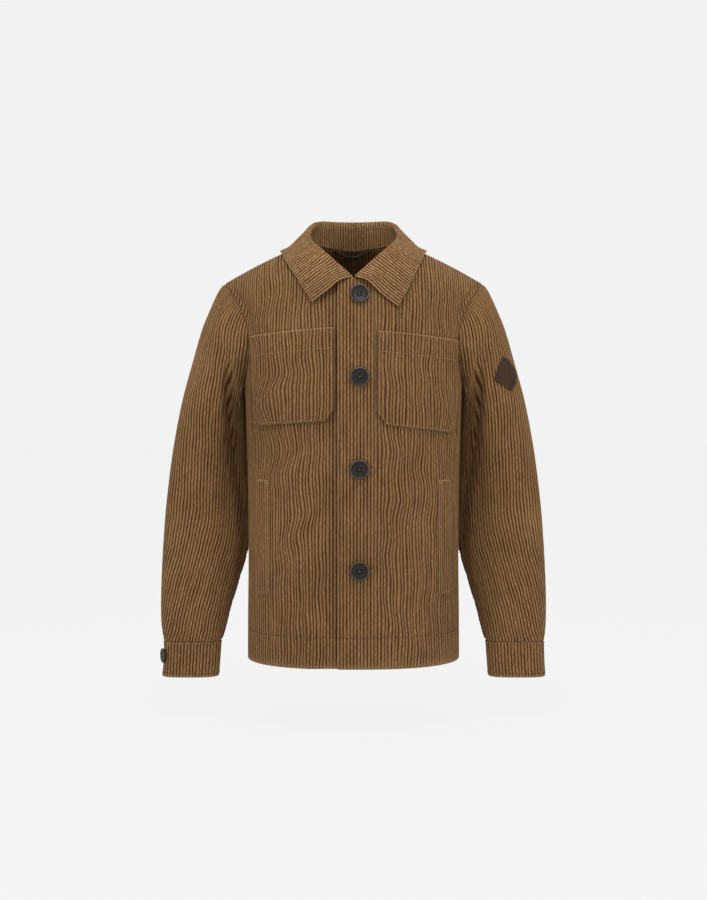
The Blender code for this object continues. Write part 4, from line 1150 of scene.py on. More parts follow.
# The sleeve's columns follow the wales. At each level the wales are counted round the section from the
# outer edge, as if the long fold weren't there, so that they run straight over it. Lower down the count is
# shifted so that they stay parallel to the inner edge, and the taper runs out at the seam behind it.
def sleeveSkin(name):
    turns = np.linspace(sleeve["seamTurn"] - 360, sleeve["seamTurn"], 361)
    levels = np.linspace(sleeve["top"], sleeve["end"], 640)
    at, plain = (atLevels(sleeveForm(name, turns, deep), levels) for deep in (1, 0))
    steps = np.linalg.norm(np.diff(plain, axis=1), axis=-1)
    arc = np.concatenate([np.zeros((len(levels), 1)), np.cumsum(steps, axis=1)], axis=1)
    outerEdge = np.array([np.interp(0, turns, row) for row in arc])
    arc -= outerEdge[:, None]
    innerFront = np.array([np.interp(sleeve["innerTurn"], turns, row) for row in arc])
    shrink = -np.diff(innerFront, prepend=innerFront[0])
    shrink = shrink * ease(sleeve["parallelFrom"], sleeve["parallelTo"], levels)
    shift = sleeve["parallelShare"] * np.cumsum(shrink)[:, None]
    steeper = sleeve["capTurn"] * np.maximum(levels - sleeve["capFrom"], 0)[:, None]
    shift = shift + steeper * np.tanh(arc / sleeve["capBlend"])
    held = ease(0, 0.03, arc - arc[:, :1]) * ease(0, 0.03, arc[:, -1:] - arc)
    sway = sleeve["sway"] * ripple(sleeveWaves, arc, levels[:, None]) * held
    count = (arc + shift + sway) / cloth["wale"]

    ring = armholePoint(turns, name)
    row = np.interp(-ring[:, 2], -levels, np.arange(len(levels)))
    base = np.minimum(row.astype(int), len(levels) - 2)
    part = row - base
    column = np.arange(len(turns))
    ringCount = count[base, column] * (1 - part) + count[base + 1, column] * part
    ringCount = np.maximum.accumulate(ringCount)

    wales = waleColumns(count[:, 0].min(), count[:, -1].max())
    top = sampled(wales, ringCount, ring)
    xyTable = np.array([sampled(wales, count[i], at[i]).T for i in range(len(levels))])
    clamped = np.array([np.clip(wales, c[0], c[-1]) for c in count])
    share = np.linspace(0, 1, sleeve["rows"])
    share = np.sort(np.concatenate([share, sleeve["extraRows"]]))[:, None]
    z = top[:, 2] + (sleeve["end"] - top[:, 2]) * share
    points = np.empty((*z.shape, 3))
    wale = np.empty(z.shape)
    for j in range(len(wales)):
        for axis in (0, 1):
            points[:, j, axis] = np.interp(-z[:, j], -levels, xyTable[:, axis, j])
        wale[:, j] = np.interp(-z[:, j], -levels, clamped[:, j])
    points[..., 2] = z
    points[0] = top
    triangles = gridTriangles(numbered(z.shape), sides[name] < 0)
    length = z / cloth["wale"]
    apart = np.linalg.norm(points - points[:1], axis=-1)
    points, triangles, wale, length, apart = welded(
        points.reshape(-1, 3), triangles, wale.ravel(), length.ravel(), apart.ravel())
    normals = normalsOf(points, triangles)
    x, z = np.abs(points[:, 0]), points[:, 2]
    fade = ease(0, 0.03, apart) * (1 - ease(0.004, 0, z - sleeve["end"]))
    for side, towards in ((front, -1), (back, 1)):
        facing = ease(-0.1, 0.5, towards * normals[:, 1])
        points = points - (folds(sleeveCreases[side], x, z) * facing * fade)[:, None] * normals
    return makeSkin(points, triangles, wale, length)


# A place on the cuff by the degrees from its under end, behind its own other end until it comes out.
def onCuff(name, turns, drop):
    lift = (cloth["wall"] + cloth["laid"]) * (ease(*cuff["rise"], turns) - 1)
    return cuffPoint(cuff["under"] - turns + cuff["turned"][name], drop, name, lift)


# A strip that goes round from its under end, towards the back, and laps over that end.
def cuffSkin(name):
    turns = np.linspace(0, cuff["around"] + cuff["under"], 800)
    arc = lengthAlong(cuffPoint(cuff["under"] - turns + cuff["turned"][name], 0.5, name))
    wales = waleColumns(cuff["firstWale"], cuff["firstWale"] + arc[-1] / cloth["wale"])
    turns = np.interp((wales - cuff["firstWale"]) * cloth["wale"], arc, turns)
    drops = np.array(cuff["drops"])[:, None]
    points = onCuff(name, turns, drops)
    triangles = gridTriangles(numbered(points.shape), sides[name] > 0)
    wale = wales + 0 * drops
    points = points.reshape(-1, 3)
    rubbed = (cuff["rubbed"] * ease(0.88, 1, drops) + 0 * wale).ravel()
    return makeSkin(points, triangles, wale.ravel(), points[:, 2] / cloth["wale"], rubbed=rubbed)


# The roll and the leaf's free edge on the left, by the share of the neck seam from the middle of the back.
collarSections = table(
    "share rollX   rollY    rollZ   edgeX   edgeY    edgeZ   round   stand",
    (0.00, 0.0000, 0.0816, 0.0430, 0.0000, 0.0945, -0.0130, 0.0055, 0.66),
    (0.12, 0.0300, 0.0765, 0.0430, 0.0330, 0.0915, -0.0150, 0.0055, 0.66),
    (0.24, 0.0550, 0.0590, 0.0418, 0.0650, 0.0790, -0.0175, 0.0055, 0.64),
    (0.34, 0.0670, 0.0370, 0.0355, 0.0930, 0.0500, -0.0165, 0.0055, 0.60),
    (0.45, 0.0736, 0.0040, 0.0215, 0.1150, 0.0060, -0.0170, 0.0052, 0.48),
    (0.56, 0.0715, -0.0280, 0.0060, 0.1115, -0.0370, -0.0260, 0.0050, 0.26),
    (0.68, 0.0600, -0.0570, -0.0072, 0.1035, -0.0680, -0.0410, 0.0048, 0.18),
    (0.79, 0.0445, -0.0780, -0.0216, 0.0930, -0.0925, -0.0610, 0.0046, 0.16),
    (0.90, 0.0225, -0.0965, -0.0420, 0.0810, -0.1090, -0.0840, 0.0044, 0.23),
    (1.00, 0.0035, -0.1085, -0.0590, 0.0695, -0.1210, -0.1048, 0.0040, 0.21),
)
collar = {
    "wall": 0.0026,
    "tipLower": {"left": 0.0039, "right": -0.0039},
    "leafSpread": (0.28, 0.62),     # where the leaf's two middle rows lie between its roll and its edge
    "leafCrown": (0.0020, 0.0020),
    "tipIn": {"left": 0.0, "right": 0.0045},
    "rollSunk": 0.6,                # how much of the right front's depth its end of the roll follows
    "rollDrop": 0.65,               # how far the roll's two sides lie under its top, in shares of its round
    "frontEdgeRise": {"left": (0.0065, 0.0010), "right": (0.0055, 0.0020)},
    "standGap": 0.0010,
    "neckLift": 0.0005,
    "leafOff": 0.0056,              # least height of the leaf's outer face over the body
    "waleLine": 0.300,              # length of one half along the line where its wales are counted
    "leafRows": (0, 0.5, 1, 1.4, 1.8, 2.2, 2.6, 3, 3.35, 3.7, 4, 4.25, 4.5, 4.75, 5, 5.25, 5.5, 5.75, 5.87,
                 5.96, 6),
}


collarCreases = millimetres(
    "x0 z0 x1 z1 width depth",
    (-28, -42.5, -94, -36, 4.2, 1.7),
    (-34, -53, -88, -50, 5, -0.9),
    (-40, -64, -80, -72, 5, 1),
    (40, -34, 104, -52, 6, 1.2),
    (30, -56, 86, -76, 6, -0.8),
)


# Rough distance of points from the body's outer face and the direction away from it: the value of a
# function that is 0 on the face, divided by its slope.
def bodyClearance(points):
    def value(x, y, z):
        out = np.clip(1 - np.clip(np.abs(x) / level(z, "half"), 0, 1) ** body["squareness"], 1e-6, 1)
        out = out ** (1 / body["squareness"])
        depth = np.where(y < 0, level(z, front), level(z, back)) * out
        drop = np.where(y < 0, fall(x, front), fall(x, back))
        return np.hypot(y / depth, np.maximum(1 + (z - ridge(x)) / drop, 0)) - 1

    step = 1e-5
    ahead, behind = ([value(*(points + move).T) for move in way * np.eye(3)] for way in (step, -step))
    slope = np.stack(ahead, axis=1) - np.stack(behind, axis=1)
    return value(*points.T) / np.linalg.norm(slope / (2 * step), axis=1), unit(slope)


# Points moved away from the body until each is at least so far off.
def heldOff(points, least):
    for _ in range(4):
        clear, away = bodyClearance(points)
        points = points + np.maximum(least - clear, 0)[:, None] * away
    return points


# The neck seam of one half, from the middle of the back to the collar's front end.
def neckSeam(name):
    sign = sides[name]
    x = np.linspace(0, body["neckHalf"], 160)
    behind = bodyPoint(sign * x, neckline(x, back), back)
    x = np.linspace(body["neckHalf"], body["collarEnd"], 240)[1:]
    ahead = bodyPoint(sign * x, neckline(x, front), front, sign)
    points = np.vstack([behind, ahead])
    length = lengthAlong(points)
    return points, length / length[-1]


# The lines that shape one half of the collar: three up the stand, and seven over the leaf, from its seam
# over the roll to its free edge. The leaf's outer ones are held off the body.
def collarRows(name, share):
    sign = sides[name]
    seam, seamShare = neckSeam(name)
    neck = sampled(share, seamShare, seam)
    row = rowsAt(collarSections, share)
    roll, edge = (np.stack([sign * row[part + "X"], row[part + "Y"], row[part + "Z"]], axis=-1)
                  for part in ("roll", "edge"))
    edge[:, 2] -= collar["tipLower"][name] * ease(0.6, 1, share)
    edge[:, 0] -= sign * collar["tipIn"][name] * ease(0.6, 1, share)
    if name == "right":
        roll[:, 1] += collar["rollSunk"] * body["sunk"] * ease(0.75, 1, share)
    run = np.gradient(roll, axis=0)
    out = unit(np.stack([-sign * run[:, 1], sign * run[:, 0], 0 * share], axis=-1))
    out[0] = (0, 1, 0)
    turning = ease(0.93, 1, share)[:, None]
    out = unit(out * (1 - turning) + unit(np.array([0.2 * sign, -1, 0])) * turning)
    lift = np.array([0, 0, 1.0])
    around = row["round"][:, None]
    top = neck + (roll - neck) * row["stand"][:, None]
    drop = collar["rollDrop"] * around * lift
    inner = roll - around * out - drop
    outer = roll + around * out - drop
    start = top - collar["wall"] * out + collar["standGap"] * lift
    leaf = [start, inner, roll, outer]
    nearEnd = ease(0.86, 1, share)[:, None]
    for spread, crown, rise in zip(collar["leafSpread"], collar["leafCrown"], collar["frontEdgeRise"][name]):
        leaf.append(outer + (edge - outer) * spread + crown * out + rise * nearEnd * lift)
    leaf.append(edge)
    leaf[4:] = [heldOff(points, collar["leafOff"]) for points in leaf[4:]]
    return [neck + collar["neckLift"] * lift, (neck + top) / 2, top], leaf


# Lines of the right half, turned round, and of the left one, made one.
def bothHalves(left, right):
    return [np.vstack([b[:0:-1], a]) for a, b in zip(left, right)]


# A grid through the lines, at some places between the first and the last of them.
def smoothRows(rows, where):
    rows = np.array(rows)
    flat = through(np.arange(len(rows)), rows.reshape(len(rows), -1), np.asarray(where, float))
    return flat.reshape(len(where), *rows.shape[1:])


# Stand and leaf, each with the wales running down it and counted from the middle of the back.
def collarSkins():
    wales = waleColumns(0, collar["waleLine"] / cloth["wale"])
    share = wales / wales[-1]
    stand, leaf = (bothHalves(a, b) for a, b in zip(*(collarRows(name, share) for name in sides)))
    count = np.concatenate([-wales[:0:-1], wales])
    skins = []
    for rows, where, flip in ((stand, np.linspace(0, 2, 9), True), (leaf, collar["leafRows"], False)):
        grid = smoothRows(rows, where)
        down = np.cumsum(np.linalg.norm(np.diff(grid, axis=0, prepend=grid[:1]), axis=-1), axis=0)
        points, triangles = grid.reshape(-1, 3), gridTriangles(numbered(grid.shape), flip)
        if not flip:
            points = leafCreased(grid, normalsOf(points, triangles).reshape(grid.shape), where).reshape(-1, 3)
        skins.append(makeSkin(points, triangles, (count + 0 * down).ravel(), (down / cloth["wale"]).ravel()))
    return skins


# The leaf's creases, in front only, away from its roll and its edge.
def leafCreased(grid, normals, where):
    held = (ease(2.6, 3.4, where) * (1 - ease(5.8, 6, where)))[:, None] * (grid[..., 1] < 0.03)
    return grid - (folds(collarCreases, grid[..., 0], grid[..., 2]) * held)[..., None] * normals


# The leaf's surface on one side as a fine grid, with its normals: for the stitches along its edges.
def leafGrid(name):
    share, where = np.linspace(0, 1, 301), np.linspace(0, 6, 241)
    grid = smoothRows(collarRows(name, share)[1], where)
    facing = sides[name] * unit(np.cross(np.gradient(grid, axis=0), np.gradient(grid, axis=1)))
    return leafCreased(grid, facing, where), facing


# Cloth laid on a front between two cloth distances, from low to high as functions of the distance.
def laidSkin(name, start, end, low, high, rows):
    sign = sides[name]
    edge = float(along(body["chestHalf"][front], front))
    columns = waleColumns(start / cloth["wale"], end / cloth["wale"]) * cloth["wale"]
    shares = np.sort(np.concatenate([np.linspace(0, 1, rows), [0.008, 0.992]]))[:, None]
    z = low(columns) + (high(columns) - low(columns)) * shares
    s = strayed(columns + 0 * z, z, edge, 5 + sign, wandersOf(front, sign))
    free = panel["straightEdge"]
    held = ease(0, free, columns - start) * (1 - ease(end - start - free, end - start, columns - start))
    x = across(columns + (s - columns) * held, z, front)
    points = bodyPoint(sign * x, z, front, sign).reshape(-1, 3)
    triangles = gridTriangles(numbered(z.shape), sign < 0)
    points = creased(points, normalsOf(points, triangles), front)
    normals = normalsOf(points, triangles)
    points = points + (cloth["laid"] + cloth["wall"]) * normals
    wale = sign * columns / cloth["wale"] + 0 * z
    worn = 0.45 + 0.55 * (shares > 0.99) + 0 * z
    return makeSkin(points, triangles, wale.ravel(), points[:, 2] / cloth["wale"], worn=worn.ravel())


# The pocket's bottom edge over the cloth distance, with its two cut corners.
def pocketLow(name):
    start = pocket["start"][name]
    end = start + pocket["width"]
    wide, tall = pocket["chamfer"]

    def low(s):
        inward = np.minimum((s - start) / wide, (end - s) / pocket["outerChamfer"])
        return pocketBottom(name, s) + tall * np.clip(1 - inward, 0, 1)

    return low


def pocketSkin(name):
    start = pocket["start"][name]
    return laidSkin(name, start, start + pocket["width"], pocketLow(name), lambda s: pocketMouth(name, s), 20)


# Heights of a welt's two ends at a cloth distance.
def weltEnds(s):
    return [body["hem"] + (chestLine(s) - body["hem"]) * share for share in welt["rows"]]


def weltSkin(name):
    start, end = welt["edges"]
    return laidSkin(name, start, end, lambda s: weltEnds(s)[0], lambda s: weltEnds(s)[1], 26)


skins = {"back": backSkin()}
for name in sides:
    skins["front_" + name] = frontSkin(name)
    skins["sleeve_" + name] = sleeveSkin(name)
    skins["cuff_" + name] = cuffSkin(name)
skins["collar_stand"], skins["collar_leaf"] = collarSkins()
print("skins made", {name: len(skin["triangles"]) for name, skin in skins.items()})
joinSeams({name: skin for name, skin in skins.items() if name != "collar_leaf"})
for name in sides:
    skins["chest_pocket_" + name] = pocketSkin(name)
    skins["side_welt_" + name] = weltSkin(name)
print("seams joined")

# Each piece of cloth as it is cut: width and length of the flat piece, its area, how it is held and what
# carries it. A star stands for left and for right.
cut = {
    "back": (0.530, 0.668, 0.308, "hung", "front_left front_right"),
    "front_left": (0.292, 0.672, 0.169, "hung", "back"),
    "front_right": (0.290, 0.672, 0.167, "hung", "back"),
    "sleeve_*": (0.440, 0.585, 0.179, "hung", "back front_*"),
    "cuff_*": (0.270, 0.060, 0.0158, "stretched", "sleeve_*"),
    "collar_stand": (0.440, 0.036, 0.0075, "hung", "back front_left front_right"),
    "collar_leaf": (0.620, 0.098, 0.041, "folded", "collar_stand"),
    "chest_pocket_*": (0.150, 0.147, 0.0205, "laid", "front_*"),
    "side_welt_*": (0.0272, 0.180, 0.0048, "laid", "front_*"),
}
pairs = [(side, named) for named in cut for side in (sides if "*" in named else ("",))]
for side, named in pairs:
    wide, long, area, held, carriers = cut[named]
    name, carriers = named.replace("*", side), carriers.replace("*", side).split()
    # The collar and the sleeves take lighter copies of the corduroy, painted light, and the stand a darker
    # one, painted shade.
    finish = {"collar_leaf": collarCorduroyPaintedLight, "collar_stand": standCorduroyPaintedShade}.get(name, corduroy)
    if name.startswith(("sleeve", "cuff")):
        finish = sleeveCorduroyPaintedLight
    options = {"wall": collar["wall"]} if name.startswith("collar") else {}
    if name == "collar_stand":
        options["innerGroove"] = cloth["groove"]
    made = clothPiece(name + "_cloth", skins[name], finish, **options)
    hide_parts(name)
    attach(made, "root")
    [c + "_cloth" for c in carriers]
print("cloth pieces made")

# The button's outline from the middle of its face over the rim to the middle of its back, in radii.
buttonProfile = table(
    "out   up",
    (0.00, 0.130),
    (0.52, 0.130),
    (0.74, 0.190),
    (0.83, 0.280),
    (0.93, 0.262),
    (1.00, 0.150),
    (0.95, 0.040),
    (0.78, 0.000),
    (0.00, 0.000),
)
button = {
    "radius": 0.0152,
    "x": 0.0095,
    "heights": (-0.0905, -0.218, -0.361, -0.5185),
    "cuffRadius": 0.012,
    "gap": 0.0012,
    "cuffGap": 0.0010,
    "turned": 2,
    "segments": 56,
    "holeOut": 0.215,
    "holeRadius": 0.108,
    "wornAt": 0.92,             # where round the rim a painted highlight lies, and its half width
    "wornWidth": 0.035,
}
thread = {
    "reach": 0.46,              # half length of a strand, in shares of the holes' distance
    "thick": 0.038,             # half thickness, in radii of the button, as all below
    "up": 0.130,                # height of the button's face
    "arch": 0.055,
    "crossing": 0.020,          # how much higher the second strand lies
    "dip": 0.050,               # how far the ends go down into the holes
}


def simpleMesh(name, points, faces, material, smooth=40):
    mesh = bpy.data.meshes.new(name)
    mesh.from_pydata([tuple(p) for p in points], [], [tuple(f) for f in faces])
    return shaded(name, mesh, material, smooth)


# Even angles round a whole turn.
def turnsOf(count):
    return 2 * math.pi * np.arange(count) / count


# The button's profile turned about +Z: rounded by a smooth curve through its corners.
def buttonBlank(radius):
    corners = np.arange(len(buttonProfile["out"]))
    fine = np.linspace(0, corners[-1], 49)[1:-1]
    out, up = (through(corners, buttonProfile[column], fine)[:, None] * radius for column in ("out", "up"))
    angle = turnsOf(button["segments"])
    grid = np.stack([out * np.cos(angle), out * np.sin(angle), up + 0 * angle], -1)
    ring = closed(numbered(grid.shape))
    faces = gridTriangles(ring, True).tolist()
    poles = np.array([[0, 0, buttonProfile["up"][0] * radius], [0, 0, 0]])
    for a, b, c, d in zip(ring[0], ring[0, 1:], ring[-1], ring[-1, 1:]):
        faces += [(out.size * len(angle), a, b), (out.size * len(angle) + 1, d, c)]
    return np.vstack([grid.reshape(-1, 3), poles]), faces


# Four upright rods where the holes are drilled.
def holePins(radius):
    points, faces = [], []
    corners = 16
    angle = turnsOf(corners)
    for turn in math.pi / 4 + turnsOf(4):
        x = (button["holeOut"] * math.cos(turn) + button["holeRadius"] * np.cos(angle)) * radius
        y = (button["holeOut"] * math.sin(turn) + button["holeRadius"] * np.sin(angle)) * radius
        rings = numbered((2, corners), len(points))
        points += [(*place, z) for z in (-radius, radius) for place in zip(x, y)]
        low, high = closed(rings)
        faces += list(zip(low[:-1], low[1:], high[1:], high[:-1]))
        faces += [tuple(rings[0][::-1]), tuple(rings[1])]
    return points, faces


# The drilled button, with a share at each point of its rim by which a painted highlight makes it paler.
def buttonMesh(radius):
    blank = simpleMesh("blank", *buttonBlank(radius), buttonPlastic)
    pins = simpleMesh("pins", *holePins(radius), buttonPlastic)
    drill = blank.modifiers.new("holes", "BOOLEAN")
    drill.operation, drill.solver, drill.object = "DIFFERENCE", "EXACT", pins
    bpy.context.view_layer.update()
    mesh = bpy.data.meshes.new_from_object(blank.evaluated_get(bpy.context.evaluated_depsgraph_get()))
    bpy.data.objects.remove(blank)
    bpy.data.objects.remove(pins)
    at = np.array([v.co for v in mesh.vertices]) / radius
    # A painted highlight in a ring round the rim of the face.
    worn = bell((np.hypot(at[:, 0], at[:, 1]) - button["wornAt"]) / button["wornWidth"]) * (at[:, 2] > 0.15)
    mesh.attributes.new("worn", "FLOAT", "POINT").data.foreach_set("value", worn.astype(np.float32))
    return mesh


# Two crossed strands of thread over the button's middle, each a low arch between opposite holes.
def threadStrands(radius):
    points, faces = [], []
    share = np.linspace(-1, 1, 9)
    out = share * thread["reach"] * button["holeOut"] * radius
    angle = turnsOf(6)[:, None]
    for crossing in (0, 1):
        turn = math.pi / 4 + crossing * math.pi / 2
        lift = thread["up"] + thread["arch"] * (1 - share**2) + thread["crossing"] * crossing
        lift = (lift - thread["dip"] * np.abs(share) ** 6) * radius
        path = np.stack([out * math.cos(turn), out * math.sin(turn), lift], -1)
        aside = np.array([-math.sin(turn), math.cos(turn), 0])
        ring = path[:, None] + thread["thick"] * radius * (np.cos(angle) * aside + np.sin(angle) * (0, 0, 1))
        index = numbered(ring.shape, len(points))
        points += ring.reshape(-1, 3).tolist()
        faces += gridTriangles(closed(index)).tolist() + [tuple(index[0]), tuple(index[-1][::-1])]
    return points, faces


# A button turned to face away from the cloth at a place, a gap off it, and its thread.
def placeButton(node, mesh, radius, at, facing, gap, twist=0.0):
    facing = Vector(facing).normalized()
    turned = facing.to_track_quat("Z", "Y") @ Quaternion((0, 0, 1), twist)
    matrix = turned.to_matrix().to_4x4()
    matrix.translation = Vector(at) + float(gap) * facing
    shape = mesh.copy()
    shape.transform(matrix)
    made = linked(node + "_turned", shape)
    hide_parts(node)
    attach(made, "root")
    strands = simpleMesh(node + "_thread", *threadStrands(radius), buttonThread)
    strands.data.transform(matrix)
    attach(strands, "root")


# Those of the front face along the normal there, and those of the cuffs lie on the dent they pull.
def makeButtons():
    mesh = buttonMesh(button["radius"])
    step = button["radius"]
    for number, z in enumerate(button["heights"], 1):
        x = np.array(button["x"])
        above, below = (bodyPoint(x, np.array(z + d), front) for d in (step, -step))
        twist = math.pi / 4 if number == button["turned"] else 0
        placeButton(f"button_{number}", mesh, button["radius"], bodyPoint(x, np.array(z), front),
                    np.cross((1, 0, 0), above - below), button["gap"], twist)
    mesh = buttonMesh(button["cuffRadius"])
    for name, sign in sides.items():
        turn = cuff["buttonTurn"] + cuff["turned"][name]
        drop = cuff["buttonDrop"]
        at = cuffPoint(turn, drop, name)
        run = cuffPoint(turn + 2, drop, name) - cuffPoint(turn - 2, drop, name)
        facing = unit(sign * np.cross((0, 0, 1), run))
        around = np.linspace(-1, 1, 41)
        nearby = cuffPoint(turn + 2 * cuff["dentTurn"] * around[:, None], drop + 0 * around, name)
        near = np.linalg.norm(nearby - at, axis=-1) < button["cuffRadius"]
        lift = ((nearby - at) @ facing)[near].max()
        placeButton("cuff_button_" + name, mesh, button["cuffRadius"], at, facing, button["cuffGap"] + lift)


makeButtons()
print("buttons made")

loop = {
    "middle": -0.0025,
    "half": 0.0275,
    "sag": 0.0125,
    "width": 0.0050,
    "thick": 0.0012,
    "off": 0.0012,              # gap between its ends and the collar's stand
    "forward": 0.0040,          # how far its middle hangs away from the stand
    # Its outline, in thicknesses and half widths.
    "ring": ((0, -1), (0, 0.94), (-0.15, 1), (-0.85, 1), (-1, 0.94), (-1, -0.94), (-0.85, -1), (-0.15, -1)),
}
patch = {
    "wall": 0.0015,
    "middle": (2.885, 51),      # section of the sleeve, and degrees round it
    "halfK": 0.535,             # half height, in sections
    "halfTurn": 28.5,           # half width, in degrees
    "lean": 0.34,
    "rounding": 0.10,           # how much its corners are drawn in
    "stitched": 0.88,           # where its stitches run, as a share of its half sides
}


# A flat tape with bevelled edges, carried along a parabola that hangs in the back of the neck.
def hangerLoop():
    share = np.linspace(-1, 1, 41)
    x = loop["middle"] + loop["half"] * share
    sag = 1 - share**2
    y = reach(x, neckline(x, back), back) - collar["wall"] - loop["off"] - loop["forward"] * sag
    z = neckline(loop["half"], back) - loop["sag"] * sag
    middle = np.stack([x, y, z], axis=-1)
    half = loop["width"] / 2
    ring = np.array(loop["ring"])
    grid = middle[:, None] + ring[:, :1] * (0, loop["thick"], 0) + ring[:, 1:] * (0, 0, half)
    index = numbered(grid.shape)
    faces = gridTriangles(closed(index)).tolist() + [tuple(index[0]), tuple(index[-1][::-1])]
    return simpleMesh("hanger_loop_tape", grid.reshape(-1, 3), faces, loopTape, 60)


# The patch's place on the sleeve: a and b run from -1 to 1 along its two sides.
def patchSurface(a, b):
    rounding = 1 - patch["rounding"] * np.abs(a * b) ** 3
    a, b = a * rounding, b * rounding
    k = patch["middle"][0] + patch["halfK"] * (a + b) / 2 + patch["lean"] * (b - a) / 2
    turn = patch["middle"][1] + patch["halfTurn"] * (a - b) / 2
    return sleevePoint(k, turn, sides["left"])


# The diamond on that surface, with its points closer near the edges.
def sleevePatch():
    steps = np.sin(np.linspace(-1, 1, 31) * math.pi / 2)
    grid = patchSurface(*np.meshgrid(steps, steps, indexing="ij"))
    triangles = gridTriangles(numbered(grid.shape))
    points = grid.reshape(-1, 3)
    if (normalsOf(points, triangles)[len(points) // 2] * (1, -1, 0)).sum() < 0:
        triangles = triangles[:, ::-1]
    raised = points + (cloth["laid"] + patch["wall"]) * normalsOf(points, triangles)
    skin = makeSkin(raised, triangles, 0 * points[:, 0], 0 * points[:, 0])
    return clothPiece("sleeve_patch_leather", skin, patchLeather, wall=patch["wall"], groove=0, innerGroove=0)


trimmings = (("hanger_loop", hangerLoop(), "loop_tape"), ("sleeve_patch", sleevePatch(), "patch"))
for node, made, slot in trimmings:
    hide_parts(node)
    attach(made, "root")
print("loop and patch made")

stitch = {
    "step": 0.0036,
    "length": 0.0027,
    "thick": 0.00048,
    "along": (-0.5, -0.36, 0.36, 0.5),      # the rings of one stitch, in shares of its length
    "rise": (-1.3, 0.3, 0.3, -1.3),         # and how far each lies off the cloth, in shares of its thickness
    "size": (0.5, 1, 1, 0.5),
    "corners": 5,
    "pocketInset": 0.0024,
    "mouthInset": 0.001,                    # how far under a pocket's mouth the lines of its sides end
    "facingDrop": 0.031,                    # from a pocket's mouth to the stitch line of its facing
    "placket": 0.0318,
    "placketTop": -0.052,
    "collarInset": 0.005,
    "leafStart": 130,                       # row of the leaf's fine grid from which its front end is stitched
    "tack": 0.0010,                         # from one stitch of a tack to the next
    # Where each tack starts and ends across the wales, and how far below its place it starts and ends.
    "pocketTack": (0.0025, 0.0065, 0.0095, 0.0015),
    "weltTack": (0.0010, 0.0055, 0.0055, 0.0010),
    "buttonholeTack": (0.0165, 0.0215, 0.0012, -0.0015),
    "patchStep": 0.0026,
    "patchLength": 0.0019,
    "cuffLines": (0.045, 0.905),            # drops of the lines along a cuff's upper and lower edges
    "cuffStart": 62,                        # degrees from its under end where they start
    "cuffEnd": 3,                           # degrees before its upper end where they stop
}


# Each stitch is a short rod of thread whose ends dip into the cloth. points is a line on the cloth and
# facing the cloth's direction along it.
def stitchRow(points, facing, step=None, length=None):
    step, length = step or stitch["step"], length or stitch["length"]
    arc = lengthAlong(points)
    middles = np.arange(step / 2, arc[-1] - length / 2 + 1e-6, step)
    ahead = unit(sampled(middles + length / 2, arc, points) - sampled(middles - length / 2, arc, points))
    up = unit(sampled(middles, arc, facing))
    turn = turnsOf(stitch["corners"])[:, None]
    forward, rise, size = (np.array(stitch[key])[:, None, None] for key in ("along", "rise", "size"))
    vectors = sampled(middles, arc, points), ahead, up, np.cross(up, ahead)
    middle, ahead, up, aside = (vector[:, None, None] for vector in vectors)
    ring = stitch["thick"] * ((rise + size * np.sin(turn)) * up + size * np.cos(turn) * aside)
    return (middle + forward * length * ahead + ring).reshape(-1, 3)


# All rods of some rows as one mesh. Gives their number.
def stitchObject(name, rows, material):
    points = np.vstack(rows)
    corners = stitch["corners"]
    fan = np.array([(0, k, k + 1) for k in range(1, corners - 1)])
    rod = gridTriangles(closed(numbered((4, corners))), True)
    one = np.concatenate([rod, fan, fan[:, ::-1] + 3 * corners])
    count = len(points) // (4 * corners)
    triangles = (one + 4 * corners * np.arange(count)[:, None, None]).reshape(-1, 3)
    none = np.zeros(len(points))
    made = meshObject(name, points, triangles, none, none, none, material)
    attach(made, "root")
    return count


# A line on a front or the back by cloth distance and height, and the cloth's direction along it.
def clothLine(side, sign, s, z, lift=0.0):
    s, z = np.broadcast_arrays(np.asarray(s, float), np.asarray(z, float))
    step = 0.0004

    def at(s, z):
        return bodyPoint(sign * across(s, z, side), z, side, sign)

    facing = unit(np.cross(at(s + step, z) - at(s - step, z), at(s, z + step) - at(s, z - step)))
    facing = facing * (sign if side == front else -sign)
    return creased(at(s, z), facing, side) + lift * facing, facing


# One row of stitches on a front.
def frontRow(sign, s, z, lift=0.0):
    return stitchRow(*clothLine(front, sign, s, z, lift))


# A tack: short stitches side by side, from one depth under a place to the other.
def tackRows(sign, s, z, tack, lift=0.0):
    start, end, low, high = tack
    wide = (s + end) - (s + start)
    line = np.linspace(s + start, s + end, 5)
    levels = np.arange(z - low, z - high, stitch["tack"])
    return [stitchRow(*clothLine(front, sign, line, at, lift), wide, 0.95 * wide) for at in levels]


# One line all round, from the left front's edge to the right front's where it comes out.
def hemStitches():
    rows = []
    z = body["hem"] + panel["hemStitch"]
    for name, sign in sides.items():
        start = {"left": -body["overlap"], "right": body["underlap"]}[name]
        for side, begin in ((front, start + 0.003), (back, 0)):
            s = np.linspace(begin, float(quarter(z, side)) - 0.003, 240)
            rows.append(stitchRow(*clothLine(side, sign, s, z, -panel["stitchDip"])))
    return stitchObject("stitches_hem", rows, darkThread)


